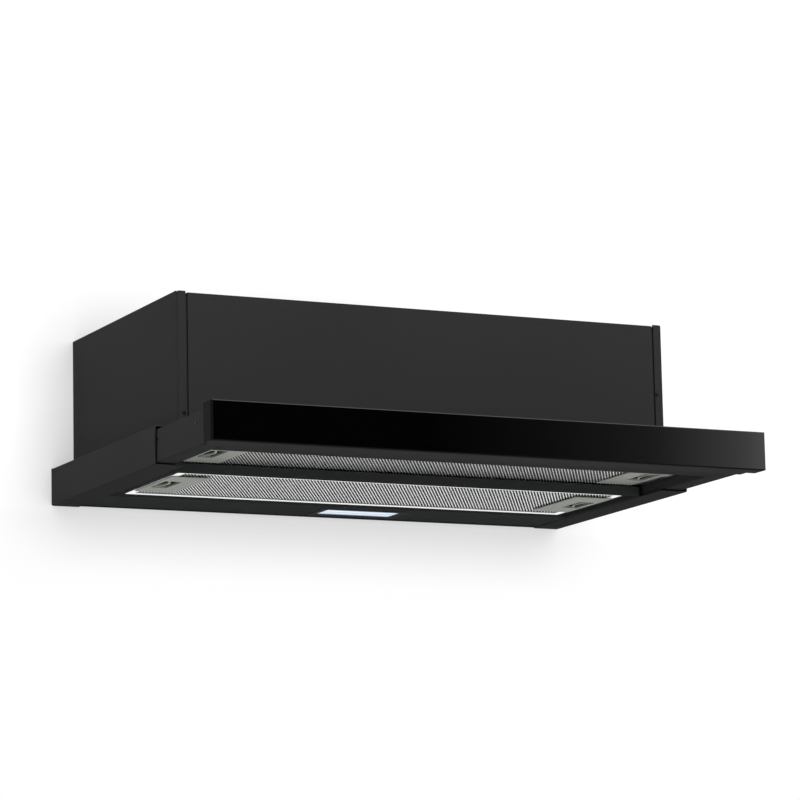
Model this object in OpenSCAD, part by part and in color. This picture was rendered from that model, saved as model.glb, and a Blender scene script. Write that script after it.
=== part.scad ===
// Pull-out cooker hood: a sheet-steel casing with a low skirt, a drawer that
// slides out of the skirt on ball runners, and a fan in the casing.
// X runs along the width, -Y is the front, Z is up.  Heights below are counted
// from the underside; the origin is the middle of the wall fixing holes.

/* [Casing] */
// Width of the upper casing
case_w = 542; // [530:1:552]
// Depth of the casing and of the skirt, wall to front
case_d = 286; // [280:1:300]
// Height from the underside to the top edge of the casing sides
hood_h = 174; // [172:1:200]
// Thickness of the folded steel sheet
sheet = 1; // [0.8:0.1:1.2]
// Inside radius of the folds
fold_r = 0.8; // [0.4:0.1:1.2]
// Width of the flange that frames the front plate
case_flange = 9.5; // [7:0.5:12]
// Width of the groove between flange and front plate
groove_w = 2; // [1.5:0.5:3]
// Drop of the front plate below the top of the sides
front_drop = 1.4; // [1:0.1:3]
// Radius of the top corner of the front flanges
corner_r = 3; // [1:0.5:5]

/* [Skirt] */
// Width of the skirt
skirt_w = 591; // [588:1:598]
// Height of the skirt
skirt_h = 39; // [38.5:0.5:42]
// Width of the flange under each side
arm_flange = 31; // [30:0.5:33]
// Length of the foot by which the casing stands on the skirt
foot_w = 19; // [12:1:22]

/* [Base tray] */
// Distance from the wall to the front face of the tray
tray_front = 239; // [236:1:250]
// Distance from the wall to the rear edge of the filter opening
tray_rear = 77; // [74:1:78]
// Distance from the wall to the rear edge of the tray
tray_back = 9; // [6:1:12]
// Height of the tray's top edge
tray_top = 11.2; // [11:0.1:11.3]
// Width of the ledge that the rear filter's bolts lie on
tray_ledge = 13.7; // [11:0.1:16]

/* [Drawer] */
// How far the drawer slides
travel = 130; // [110:1:135]
// Gap left in front of the skirt when the drawer is shut
shut_gap = 1; // [0.5:0.5:3]
// Running gap between skirt and drawer side
drawer_gap = 1.5; // [1:0.1:2]
// Width of the channel along each side of the drawer
drawer_channel = 22.5; // [21:0.5:23]
// Height of the drawer's underside
drawer_z = 2.6; // [2.2:0.1:3]
// Height of the top edge of the drawer's sides
drawer_top = 35.5; // [35:0.1:36]
// Length of the drawer's sides
drawer_len = 252; // [240:1:256]
// Width of the lip along the top of the drawer's sides
drawer_lip = 8; // [5:0.5:9]
// Depth of the strip between front panel and front filter
strip_d = 45; // [40:1:50]
// Height of the deck that covers the drawer
deck_top = 33; // [32:0.5:33.5]
// How far the deck reaches back from the panel
deck_d = 137; // [134:1:140]
// Width of the ledge that the front filter's bolts lie on
drawer_ledge = 4.2; // [4:0.1:5]
// Width of the rail behind the front filter
rail_d = 8; // [6:1:12]

/* [Front panel] */
// Width of the front panel
panel_w = 598; // [594:1:602]
// Height of the front panel
panel_h = 38.4; // [37:0.1:40]
// Height of the panel's lower edge
panel_z = 0.5; // [0.2:0.1:0.8]
// Depth of the metal body of the panel
panel_d = 17; // [14:1:20]
// Thickness of the glass
glass_t = 5; // [4:0.5:6]
// Bevel of the glass edges
glass_bevel = 0.8; // [0.3:0.1:1.5]
// Depth of the flange that the panel reaches under the drawer
panel_flange = 17; // [12:1:20]
// Width of the rim around the panel's open back
panel_rim = 8; // [6:1:10]

/* [Filters] */
// Depth of both grease filters
filter_d = 150; // [140:1:150]
// Thickness of both grease filters
filter_t = 7.6; // [7.4:0.1:7.8]
// Width of the plain border round the perforated face
filter_rim = 8; // [6:0.5:9]
// Thickness of the filter frame's sheet
filter_sheet = 0.8; // [0.6:0.1:1]
// Height of the rear filter's face
rear_filter_z = 2.3; // [2.2:0.1:2.4]
// Height of the front filter's face
front_filter_z = 12.6; // [12.5:0.1:12.8]
// Gap round each filter
filter_gap = 0.8; // [0.6:0.1:1]

/* [Filter latches] */
// Length of the latch plate
plate_len = 98; // [90:1:110]
// Width of the latch plate
plate_w = 42; // [38:1:44]
// Thickness of the latch plate
plate_t = 1; // [0.6:0.1:1]
// Distance from the rear filter's edge to its latch plate
rear_inset = 1.3; // [1:0.1:3]
// Distance from the front filter's edge to its latch plate
front_inset = 12.5; // [8:0.5:14]
// Length of the finger well
well_len = 42; // [36:1:48]
// Width of the finger well
well_w = 18; // [17:0.5:20]
// Depth of the finger well above the filter's face
well_h = 7.4; // [7.3:0.1:7.5]
// Distance from the plate's outer edge to the well
well_edge = 4.5; // [3:0.5:6]
// How far the latch slides
latch_travel = 5.5; // [5:0.1:6]
// Width of the bolt
bolt_w = 22; // [16:1:28]
// Thickness of the bolt
bolt_t = 2.4; // [2:0.1:2.6]
// Reach of the rear filter's bolt over its ledge
bolt_reach = 6; // [5:0.5:8]

/* [Lamp] */
// Distance of the lamp from the centre line
lamp_x = 35; // [0:1:120]
// Distance from the wall to the middle of the lamp
lamp_y = 40; // [38:1:44]
// Length of the lamp
lamp_w = 98; // [80:1:140]
// Depth of the lamp
lamp_d = 48; // [40:1:52]
// Height of the lamp's body
lamp_h = 14; // [12:1:20]
// Width of the frame round the lamp's window
lamp_frame = 6; // [4:0.5:8]

/* [Fan] */
// Radius of the fan wheel
wheel_r = 50; // [46:1:52]
// Width of the fan wheel
wheel_w = 92; // [80:1:110]
// Number of blades
blades = 32; // [24:1:40]
// Depth of the blades
blade_d = 9; // [7:0.5:11]
// Thickness of the blades
blade_t = 1.2; // [1:0.1:1.6]
// Gap between wheel and scroll at the tongue
scroll_gap = 4; // [3:0.5:6]
// Growth of the scroll from the tongue to the outlet
scroll_growth = 24; // [20:1:25]
// Wall of the plastic fan housing
fan_wall = 2; // [1.6:0.1:2.4]
// Height of the fan's axis
fan_z = 108; // [107:1:112]
// Distance from the wall to the fan's axis
fan_y = 132; // [130:1:140]
// Radius of the motor
motor_r = 33; // [28:1:34]
// Radius of the motor shaft
shaft_r = 4; // [3:0.5:5]

/* [Air outlet] */
// Outer radius of the collar for the duct
collar_r = 59.5; // [58.5:0.5:62]
// Wall of the collar
collar_wall = 2.2; // [1.8:0.1:2.6]
// Height of the collar above the casing's top plate
collar_h = 30; // [26:1:40]
// Distance from the wall to the collar's axis
collar_y = 78; // [76:1:84]
// Radius of the flange of the collar
collar_flange = 69; // [67:1:72]
// Radius of the flap pin
pin_r = 1.5; // [1.2:0.1:2]

/* [Runners] */
// Thickness of a runner, rail to rail
runner_t = 12; // [11:0.5:12]
// Height of a runner
runner_h = 17; // [16:0.5:18]
// Sheet of the runner rails
rail_t = 1.2; // [1:0.1:1.5]
// Length of the fixed rail
rail_len = 240; // [225:1:240]
// Radius of the balls
ball_r = 1.25; // [1:0.05:1.3]
// Number of balls in each row
balls = 8; // [4:1:10]

/* [Controls] */
// Number of push buttons
buttons = 5; // [3:1:5]
// Spacing of the push buttons
button_pitch = 19; // [17:1:22]
// Size of a push button across the drawer
button_w = 14; // [12:1:15]
// Size of a push button along the drawer
button_d = 11; // [9:1:13]
// Distance of the middle button from the centre line
switch_x = 200; // [120:1:205]
// How far a push button travels
button_travel = 2.5; // [2:0.5:2.5]

/* [Fixings] */
// Height of the wall fixing centre above the underside
fix_h = 105; // [100:1:115]
// Spacing of the wall screws along the width
wall_dx = 460; // [400:10:480]
// Spacing of the wall screws in height
wall_dz = 90; // [80:5:100]
// Radius of the wall screw holes
wall_r = 3; // [2.5:0.25:4]
// Spacing of the cabinet screws along the width
cabinet_dx = 480; // [440:10:490]
// Spacing of the cabinet screws in depth
cabinet_dy = 200; // [180:5:210]
// Radius of the cabinet screw holes
cabinet_r = 2.5; // [2:0.25:3]
// Radius of the bore for the supply cable
cable_r = 4.2; // [3.5:0.1:5]
// Height of the upper screw in the right front flange
flange_screw_z = 101; // [80:1:150]

/* [Hidden] */
$fn = 48;

// Small gaps between pieces
rest_gap = 0.2;
seat_gap = 0.3;
run_gap = 0.08;

// Half widths
case_x = case_w / 2;
skirt_x = skirt_w / 2;
arm_x = skirt_x - arm_flange;
tray_x = arm_x - rest_gap;
drawer_x = skirt_x - sheet - drawer_gap;
channel_x = drawer_x - drawer_channel;
leg_x = drawer_x - sheet - runner_t;
flange_x = case_x - case_flange;
plate_x = flange_x - groove_w;
screw_x = flange_x + 2.6;
side_return = 12;
panel_screw_z = 28;

// Heights
tray_z = sheet + rest_gap;
plate_top = hood_h - front_drop;
cover_z = plate_top - 0.1 - sheet;
front_low = skirt_h - 1.8;
bolt_z = 3.6;
ledge_z = bolt_z - seat_gap - sheet;

// Places along the depth
panel_y = -case_d - shut_gap - travel;
drawer_back = panel_y + drawer_len;
rear_filter_y = -tray_front + sheet + filter_gap;
step_y = panel_y + strip_d;
front_filter_y = step_y + sheet + filter_gap;
rail_y = front_filter_y + filter_d + filter_gap;

// Filters
rear_half = tray_x - sheet - tray_ledge - filter_gap;
front_half = channel_x - drawer_ledge - filter_gap;
rear_plate_x = rear_half - rear_inset;
front_plate_x = front_half - front_inset;
rear_centre = rear_filter_y + filter_d / 2;
front_centre = front_filter_y + filter_d / 2;

// Fan and outlet
tongue = 60;
scroll_r = wheel_r + scroll_gap;
scroll_end = scroll_r + scroll_growth;
throat = scroll_r * cos(tongue);
fan_half = wheel_w / 2 + 4;
wheel_rim = 0.6;
inlet_r = wheel_r - blade_d + 1;
collar_in = collar_r - collar_wall;
cover_top = cover_z + sheet;
collar_base = 2.5;
collar_top = cover_top + collar_h;
flap_z = cover_top + 10.3;
flap_t = 1.2;
knuckle_r = pin_r + 1.5;
pin_z = flap_z + knuckle_r + 0.5;
flap_r = collar_in - 0.8;
flap_gap = knuckle_r + 0.6;

// Runners
runner_z = skirt_h - 5.5 - runner_h / 2;
rail_front = -case_d + 10;
cage_len = 100;
cage_back = rail_front + 2 + cage_len;
slide_front = panel_y + 7;
slide_len = drawer_back - slide_front;

// Controls
switch_y = panel_y + 6;
switch_d = button_d + 8;
switch_w = (buttons - 1) * button_pitch + button_w + 8;
button_top = deck_top + 3.3;
box_x = 120;
box_w = 110;
box_d = 96;
box_h = 36;
collar_screw = collar_r + 4.6;
box_y = -24;
gland_x = box_x + box_w / 2;
gland_y = box_y - 36;

// Block between two opposite corners
module block(a, b) {
    translate(a) cube(b - a);
}

// Outline in x and z, drawn along y
module along_y(y0, y1) {
    translate([0, y1, 0]) rotate([90, 0, 0]) linear_extrude(y1 - y0) children();
}

// Outline in y and z, drawn along x
module along_x(x0, x1) {
    translate([x0, 0, 0]) rotate([90, 0, 90]) linear_extrude(x1 - x0) children();
}

// Right-hand pieces are drawn at +X; side = -1 gives the left-hand one
module on_side(side) {
    if (side > 0) children();
    else mirror([1, 0, 0]) children();
}

// Moves a piece from heights above the underside to the origin
module hung() {
    translate([0, 0, -fix_h]) children();
}

function unit(v) = v / norm(v);
function left(v) = [-v[1], v[0]];
function cross2(u, v) = u[0] * v[1] - u[1] * v[0];
function heading(path, i) = unit(path[i + 1] - path[i]);
function reverse(list) = [for (i = [len(list) - 1 : -1 : 0]) list[i]];

// Points round one fold, at the distance off to the left of the path
function fold(p, u, v, off, r_mid) =
    let (turn = atan2(cross2(u, v), u * v))
    let (s = sign(turn))
    let (r = r_mid - s * off)
    let (q = p + off * left(u) - u * off * (1 - u * v) / cross2(u, v))
    let (t = r * tan(abs(turn) / 2))
    let (c = q - t * u + s * r * left(u))
    let (a = atan2(-s * left(u)[1], -s * left(u)[0]))
    [for (i = [0 : 3]) c + r * [cos(a + turn * i / 3), sin(a + turn * i / 3)]];

// One face of a folded sheet
function face(path, off, r_mid) = [
    path[0] + off * left(heading(path, 0)),
    for (i = [1 : len(path) - 2])
        each fold(path[i], heading(path, i - 1), heading(path, i), off, r_mid),
    path[len(path) - 1] + off * left(heading(path, len(path) - 2))
];

// Outline of a sheet folded along the middle line in path
function folded(path) = concat(
    face(path, sheet / 2, fold_r + sheet / 2),
    reverse(face(path, -sheet / 2, fold_r + sheet / 2))
);

// ---- casing ----

// Heights of the screws in a casing flange; the left one has no upper screw
function screw_levels(side) = side > 0 ? [front_low + 16, flange_screw_z] : [front_low + 16];

module casing_side(side) {
    mid = sheet / 2;
    hem = 2 * sheet;
    on_side(side) difference() {
        union() {
            translate([0, 0, skirt_h]) linear_extrude(hood_h - skirt_h)
                polygon(folded([
                    [flange_x, -case_d + mid],
                    [case_x - mid, -case_d + mid],
                    [case_x - mid, -sheet - mid],
                    [case_x - side_return, -sheet - mid]
                ]));
            block([flange_x, -case_d, skirt_h], [case_x - sheet, -case_d + hem, hood_h]);
            block([case_x - sheet, -case_d + 3, skirt_h], [case_x + foot_w, -sheet, skirt_h + sheet]);
            block([case_x - 13, -case_d + 4, cover_z - sheet], [case_x - sheet / 2, -sheet, cover_z]);
        }
        translate([case_x - corner_r, -case_d - 1, hood_h - corner_r]) difference() {
            cube([corner_r + 1, hem + 1.01, corner_r + 1]);
            translate([0, -1, 0]) rotate([-90, 0, 0]) cylinder(r = corner_r, h = hem + 4);
        }
        for (z = screw_levels(side))
            translate([screw_x, -case_d - 1, z]) rotate([-90, 0, 0]) cylinder(r = 1.6, h = hem + 3);
        for (y = [0.2, 0.5, 0.8])
            translate([case_x + foot_w / 2, -case_d * y, skirt_h - 1]) cylinder(r = 1.6, h = sheet + 2);
        for (y = [0.2, 0.8])
            translate([case_x - 7, -case_d * y, cover_z - sheet - 1]) cylinder(r = 1.6, h = sheet + 2);
    }
}

module casing_left() color([0.17, 0.17, 0.17]) hung() casing_side(-1);

module casing_right() color([0.17, 0.17, 0.17]) hung() casing_side(1);

module casing_back() {
    color([0.16, 0.16, 0.16]) hung() difference() {
        union() {
            along_y(-sheet, 0) polygon([
                [-skirt_x, sheet], [skirt_x, sheet], [skirt_x, skirt_h],
                [case_x, skirt_h], [case_x, hood_h], [-case_x, hood_h],
                [-case_x, skirt_h], [-skirt_x, skirt_h]
            ]);
            // stiffening beads
            for (z = [70, 128])
                along_y(-sheet - 1.5, -sheet) polygon([
                    [-190, z], [190, z], [186, z + 8], [-186, z + 8]
                ]);
        }
        for (x = [-1, 1])
            for (z = [-1, 1])
                translate([x * wall_dx / 2, 1, fix_h + z * wall_dz / 2])
                    rotate([90, 0, 0]) cylinder(r = wall_r, h = sheet + 2);
    }
}

module casing_front() {
    lip = case_x - sheet - 1;
    back = -case_d + 2 * sheet;
    color([0.17, 0.17, 0.17]) hung() difference() {
        union() {
            block([-plate_x, -case_d, front_low], [plate_x, -case_d + sheet, plate_top]);
            for (side = [-1, 1]) on_side(side) {
                block([plate_x - sheet, -case_d, front_low], [plate_x, back + sheet, plate_top]);
                block([plate_x - sheet, back, skirt_h + 3], [lip, back + sheet, cover_z - sheet - 1]);
            }
            block([-plate_x, -case_d, front_low], [plate_x, -case_d + 14, front_low + sheet]);
            block([-plate_x + 4, -case_d + 13, front_low], [plate_x - 4, -case_d + 14, front_low + 7]);
        }
        for (side = [-1, 1])
            on_side(side) for (z = screw_levels(side))
                translate([screw_x, back - 1, z]) rotate([-90, 0, 0]) cylinder(r = 1.2, h = sheet + 2);
    }
}

module casing_top() {
    edge = case_x - sheet - rest_gap;
    color([0.17, 0.17, 0.17]) hung() difference() {
        union() {
            block([-edge, -case_d + sheet + rest_gap, cover_z], [edge, -sheet - rest_gap, cover_top]);
            block([-edge + 14, -case_d + sheet + rest_gap, cover_z - 9],
                  [edge - 14, -case_d + 2 * sheet + rest_gap, cover_top]);
            block([-edge + 14, -2 * sheet - rest_gap, cover_z - 9], [edge - 14, -sheet - rest_gap, cover_top]);
        }
        // notches round the flanges of the sides and the front
        for (side = [-1, 1]) on_side(side) {
            block([plate_x - sheet - rest_gap, -case_d, cover_z - 1],
                  [case_x, -case_d + 3 * sheet + rest_gap, cover_top + 1]);
            block([case_x - side_return - rest_gap, -2 * sheet - fold_r - rest_gap, cover_z - 1],
                  [case_x, 0, cover_top + 1]);
        }
        translate([0, -collar_y, cover_z - 1]) cylinder(r = collar_in, h = sheet + 2, $fn = 96);
        for (a = [45, 135, 225, 315])
            translate([0, -collar_y, cover_z - 1]) rotate(a) translate([collar_screw, 0, 0])
                cylinder(r = 1.4, h = sheet + 2);
        for (x = [-1, 1])
            for (y = [-1, 1])
                translate([x * cabinet_dx / 2, -case_d / 2 + y * cabinet_dy / 2, cover_z - 1])
                    cylinder(r = cabinet_r, h = sheet + 2);
        for (x = [-1, 1])
            for (y = [0.2, 0.8])
                translate([x * (case_x - 7), -case_d * y, cover_z - 1]) cylinder(r = 1.6, h = sheet + 2);
        translate([gland_x, gland_y, cover_z - 1]) cylinder(r = cable_r + 4.2, h = sheet + 2);
    }
}

// ---- skirt and base ----

module skirt_side(side) {
    mid = sheet / 2;
    on_side(side) difference() {
        along_y(-case_d, -sheet) polygon(folded([
            [arm_x + mid, tray_top - 0.6],
            [arm_x + mid, mid],
            [skirt_x - mid, mid],
            [skirt_x - mid, skirt_h - mid],
            [leg_x - mid, skirt_h - mid],
            [leg_x - mid, runner_z - runner_h / 2 - 1.5]
        ]));
        block([arm_x - 1, -case_d - 1, sheet], [arm_x + sheet + fold_r, -tray_front, tray_top + 1]);
        block([leg_x - sheet - 1, -case_d - 1, 2], [leg_x + 1, -case_d + 6, skirt_h - sheet - fold_r]);
        for (y = [0.2, 0.5, 0.8])
            translate([case_x + foot_w / 2, -case_d * y, skirt_h - 3]) cylinder(r = 1.2, h = 5);
    }
}

module skirt_left() color([0.18, 0.18, 0.18]) hung() skirt_side(-1);

module skirt_right() color([0.18, 0.18, 0.18]) hung() skirt_side(1);

module base_tray() {
    ledge = rear_filter_z + ledge_z;
    rear_edge = rear_filter_y + filter_d + filter_gap;
    color([0.16, 0.17, 0.16]) hung() {
        difference() {
            block([-tray_x, -tray_front, tray_z], [tray_x, -tray_back, tray_top]);
            block([-tray_x + sheet, -tray_front + sheet, tray_z + sheet],
                  [tray_x - sheet, -tray_back - sheet, tray_top + 1]);
            block([-tray_x + sheet, -tray_front + sheet, 0], [tray_x - sheet, -tray_rear, tray_z + 2]);
            translate([lamp_x, -lamp_y, 0])
                block([-lamp_w / 2 + 2, -lamp_d / 2 + 2, 0], [lamp_w / 2 - 2, lamp_d / 2 - 2, tray_z + 2]);
        }
        // ledges under the bolts and along the rear of the filter
        for (side = [-1, 1])
            on_side(side)
                block([rear_half + filter_gap, -tray_front + sheet / 2, ledge],
                      [tray_x - sheet / 2, -tray_rear + sheet, ledge + sheet]);
        block([-tray_x + sheet / 2, rear_edge, ledge], [tray_x - sheet / 2, -tray_rear + sheet, ledge + sheet]);
        // wall behind the filter, stop over its front edge
        block([-tray_x + sheet / 2, -tray_rear, tray_z], [tray_x - sheet / 2, -tray_rear + sheet, tray_top]);
        block([-tray_x + sheet / 2, -tray_front + sheet / 2, tray_top - sheet],
              [tray_x - sheet / 2, -tray_front + 9, tray_top]);
    }
}

// ---- grease filters ----

// Frame with an open middle, its lower face at z and its front edge at y
module filter_frame(half, y, z, out_x) {
    slot_z = z + bolt_z - 0.4;
    difference() {
        block([-half, y, z], [half, y + filter_d, z + filter_t]);
        block([-half + filter_rim, y + filter_rim, z - 1],
              [half - filter_rim, y + filter_d - filter_rim, z + filter_t + 1]);
        block([-half + filter_sheet, y + filter_sheet, z + filter_sheet],
              [half - filter_sheet, y + filter_d - filter_sheet, z + filter_t - filter_sheet]);
        for (side = [-1, 1])
            on_side(side) block([half - 2, y + filter_d / 2 - bolt_w / 2 - 0.4, slot_z],
                                [half + 1, y + filter_d / 2 + bolt_w / 2 + 0.4, slot_z + bolt_t + 0.8]);
        well_cuts(out_x, y + filter_d / 2, z);
    }
}

// Cut-outs for the two finger wells
module well_cuts(out_x, y, z) {
    for (side = [-1, 1])
        on_side(side)
            block([out_x - well_edge - well_w - 1.3, y - well_len / 2 - 1.3, z - 1],
                  [out_x - well_edge + 1.3, y + well_len / 2 + 1.3, z + filter_t + 1]);
}

// Cut-outs for the two bolts, from the wells to the edge of the filter
module bolt_cuts(out_x, half, y, z) {
    for (side = [-1, 1])
        on_side(side)
            block([out_x - well_edge, y - bolt_w / 2 - 0.6, z + bolt_z - 0.5],
                  [half + 1, y + bolt_w / 2 + 0.6, z + filter_t + 1]);
}

// Sheet across the frame, resting on its rim
module filter_face(half, y, z, out_x) {
    gap = filter_sheet + 0.1;
    difference() {
        block([-half + gap, y + gap, z + filter_sheet],
              [half - gap, y + filter_d - gap, z + filter_sheet + 0.6]);
        well_cuts(out_x, y + filter_d / 2, z);
    }
}

// Pack of expanded mesh behind the face
module filter_core(half, y, z, out_x) {
    gap = filter_sheet + 0.4;
    low = z + filter_sheet + 0.7;
    difference() {
        block([-half + gap, y + gap, low], [half - gap, y + filter_d - gap, z + filter_t - filter_sheet - 0.1]);
        well_cuts(out_x, y + filter_d / 2, z);
        bolt_cuts(out_x, half, y + filter_d / 2, z);
        // pleats of the pack
        for (i = [1 : 9])
            block([-half, y + i * filter_d / 10 - 1.5, z + filter_t - filter_sheet - 1.6],
                  [half, y + i * filter_d / 10 + 1.5, z + filter_t]);
    }
}

module rear_filter_frame() {
    color([0.72, 0.73, 0.74]) hung() filter_frame(rear_half, rear_filter_y, rear_filter_z, rear_plate_x);
}

module rear_filter_face() {
    color([0.78, 0.79, 0.8]) hung() filter_face(rear_half, rear_filter_y, rear_filter_z, rear_plate_x);
}

module rear_filter_core() {
    color([0.5, 0.51, 0.52]) hung() filter_core(rear_half, rear_filter_y, rear_filter_z, rear_plate_x);
}

module front_filter_frame() {
    color([0.72, 0.73, 0.74]) hung() filter_frame(front_half, front_filter_y, front_filter_z, front_plate_x);
}

module front_filter_face() {
    color([0.78, 0.79, 0.8]) hung() filter_face(front_half, front_filter_y, front_filter_z, front_plate_x);
}

module front_filter_core() {
    color([0.5, 0.51, 0.52]) hung() filter_core(front_half, front_filter_y, front_filter_z, front_plate_x);
}

// ---- latches ----

module latch_plate(side, out_x, y, z) {
    well_out = out_x - well_edge;
    well_in = well_out - well_w;
    low = z - plate_t;
    on_side(side) {
        difference() {
            union() {
                block([out_x - plate_w, y - plate_len / 2, low], [out_x, y + plate_len / 2, z]);
                block([well_in - 1, y - well_len / 2 - 1, low], [well_out + 1, y + well_len / 2 + 1, z + well_h]);
            }
            block([well_in, y - well_len / 2, low - 1], [well_out, y + well_len / 2, z + well_h - 1]);
            block([well_out - 1, y - bolt_w / 2 - 0.3, z + bolt_z - 0.3],
                  [well_out + 2, y + bolt_w / 2 + 0.3, z + bolt_z + bolt_t + 0.3]);
            // bevel along the inner edge
            translate([out_x - plate_w, y, low]) rotate([0, 45, 0]) cube([1, plate_len + 2, 1], center = true);
        }
        // guides under the ends of the slide
        for (s = [-1, 1])
            block([well_in - 0.5, y + s * (well_len / 2 - 0.7) - 1.3, z + bolt_z - seat_gap - 0.9],
                  [well_out + 0.5, y + s * (well_len / 2 - 0.7) + 1.3, z + bolt_z - seat_gap]);
    }
}

// Carriage, curved finger tab and bolt in one moulding; tip_x is the bolt's end
module latch_slide(side, out_x, tip_x, y, z) {
    well_out = out_x - well_edge;
    back = well_out - seat_gap;
    front = well_out - well_w + seat_gap + latch_travel;
    half_l = well_len / 2 - 0.4;
    tab_r = 30;
    tab_t = 1.6;
    tab_half = half_l - 3.5;
    on_side(side) {
        difference() {
            block([front, y - half_l, z + bolt_z], [back, y + half_l, z + bolt_z + bolt_t]);
            // moulded spring arms stand free of the carriage
            for (s = [-1, 1])
                block([front + 1.4, y + s * (half_l - 4) - 1.2, z], [back - 1.5, y + s * (half_l - 4) + 1.2, z + 9]);
        }
        translate([front + tab_r + 0.4, y, z - plate_t + 0.4]) intersection() {
            difference() {
                cylinder(r = tab_r, h = bolt_z + plate_t, $fn = 96);
                translate([0, 0, -1]) cylinder(r = tab_r - tab_t, h = bolt_z + plate_t + 2, $fn = 96);
            }
            block([-tab_r - 1, -tab_half, -1], [0, tab_half, bolt_z + plate_t + 1]);
        }
        translate([0, y + bolt_w / 2, z + bolt_z]) rotate([90, 0, 0]) linear_extrude(bolt_w) polygon([
            [back - 1, 0], [tip_x - 1.6, 0], [tip_x, 1.2],
            [tip_x, bolt_t], [back - 1, bolt_t]
        ]);
    }
}

module rear_plate(side) latch_plate(side, rear_plate_x, rear_centre, rear_filter_z);

module rear_slide(side) latch_slide(side, rear_plate_x, rear_half + bolt_reach, rear_centre, rear_filter_z);

module front_plate(side) latch_plate(side, front_plate_x, front_centre, front_filter_z);

module front_slide(side) latch_slide(side, front_plate_x, channel_x - seat_gap, front_centre, front_filter_z);

module rear_latch_plate_left() color([0.6, 0.62, 0.58]) hung() rear_plate(-1);

module rear_latch_plate_right() color([0.6, 0.62, 0.58]) hung() rear_plate(1);

module rear_latch_slide_left() color([0.64, 0.66, 0.62]) hung() rear_slide(-1);

module rear_latch_slide_right() color([0.64, 0.66, 0.62]) hung() rear_slide(1);

module front_latch_plate_left() color([0.6, 0.62, 0.58]) hung() front_plate(-1);

module front_latch_plate_right() color([0.6, 0.62, 0.58]) hung() front_plate(1);

module front_latch_slide_left() color([0.64, 0.66, 0.62]) hung() front_slide(-1);

module front_latch_slide_right() color([0.64, 0.66, 0.62]) hung() front_slide(1);

// ---- lamp ----

// Rectangle round the lamp's middle, smaller than the lamp by in on each side
module lamp_block(in, z0, z1) {
    translate([lamp_x, -lamp_y, 0])
        block([-lamp_w / 2 + in, -lamp_d / 2 + in, z0], [lamp_w / 2 - in, lamp_d / 2 - in, z1]);
}

module lamp_housing() {
    color([0.13, 0.13, 0.13]) hung() difference() {
        union() {
            lamp_block(0, tray_z - 0.8, tray_z);
            lamp_block(2.3, tray_z - 0.8, lamp_h);
        }
        lamp_block(lamp_frame, 0, lamp_h - 1.5);
        lamp_block(3.8, tray_z + 0.3, lamp_h - 1.5);
    }
}

module lamp_window() color([0.85, 0.9, 1]) hung() lamp_block(4, tray_z + 0.4, tray_z + 2.4);

module lamp_board() {
    color([0.9, 0.9, 0.86]) hung() {
        lamp_block(4, lamp_h - 3.2, lamp_h - 1.6);
        for (i = [-2.5 : 2.5])
            translate([lamp_x + i * (lamp_w - 14) / 6, -lamp_y, lamp_h - 3.7]) cube([5, 5, 1.1], center = true);
    }
}

// ---- fan ----

// Radius of the scroll at the angle a, counted from the wall side upwards
function scroll_at(a) = scroll_r + scroll_growth * (a - tongue) / (360 - tongue);

// Air space of the scroll in y and z, grown by wall
module scroll_outline(wall, top) {
    polygon(concat(
        [for (a = [tongue : 10 : 360]) (scroll_at(a) + wall) * [cos(a), sin(a)] + [-fan_y, fan_z]],
        [[-fan_y + scroll_end + wall, top], [-fan_y + throat - wall, top]]
    ));
}

module fan_housing(side) {
    inner = fan_half;
    outer = fan_half + fan_wall;
    flange = 9;
    y0 = -fan_y + throat;
    y1 = -fan_y + scroll_end;
    on_side(side) {
        difference() {
            along_x(0, outer) scroll_outline(fan_wall, cover_z);
            along_x(-1, inner) scroll_outline(0, cover_z + 1);
            translate([inner - 1, -fan_y, fan_z]) rotate([0, 90, 0]) cylinder(r = inlet_r, h = fan_wall + 2, $fn = 96);
        }
        // bell mouth of the inlet
        translate([inner - 3, -fan_y, fan_z]) rotate([0, 90, 0]) difference() {
            cylinder(r = inlet_r + 2, h = 3.5, $fn = 96);
            translate([0, 0, -1]) cylinder(r = inlet_r, h = 6, $fn = 96);
        }
        // flange under the top plate
        difference() {
            block([0, y0 - fan_wall - flange, cover_z - 3], [outer + flange, y1 + fan_wall + flange, cover_z]);
            block([-1, y0 - fan_wall / 2, cover_z - 4], [inner + fan_wall / 2, y1 + fan_wall / 2, cover_z + 1]);
        }
        // ribs between flange and side
        for (y = [y0 + 8, y1 - 8])
            translate([outer - 0.5, y + 1, 0]) rotate([90, 0, 0]) linear_extrude(2)
                polygon([[0, cover_z - 2], [flange - 1, cover_z - 2], [0, cover_z - 22]]);
    }
}

module fan_housing_left() color([0.2, 0.2, 0.21]) hung() fan_housing(-1);

module fan_housing_right() color([0.2, 0.2, 0.21]) hung() fan_housing(1);

// Round piece on the fan's axis from x0 to x1
module on_axis(r, x0, x1) {
    translate([x0, -fan_y, fan_z]) rotate([0, 90, 0]) cylinder(r = r, h = x1 - x0);
}

module motor_bracket() {
    outer = fan_half + fan_wall;
    reach = inlet_r + 9;
    color([0.55, 0.56, 0.57]) hung() difference() {
        union() {
            on_axis(22, -outer - 3, -outer);
            for (a = [90, 210, 330])
                translate([-outer - 3, -fan_y, fan_z]) rotate([a, 0, 0]) {
                    block([0, 0, -6], [3, reach - 8, 6]);
                    translate([0, reach - 8, 0]) rotate([0, 90, 0]) cylinder(r = 6, h = 3);
                }
        }
        on_axis(9, -outer - 4, -outer + 1);
        for (a = [90, 210, 330])
            translate([-outer - 4, -fan_y, fan_z]) rotate([a, 0, 0])
                translate([0, reach - 8, 0]) rotate([0, 90, 0]) cylinder(r = 2.2, h = 5);
    }
}

motor_x0 = -fan_half - fan_wall;
motor_x1 = -8;

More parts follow.
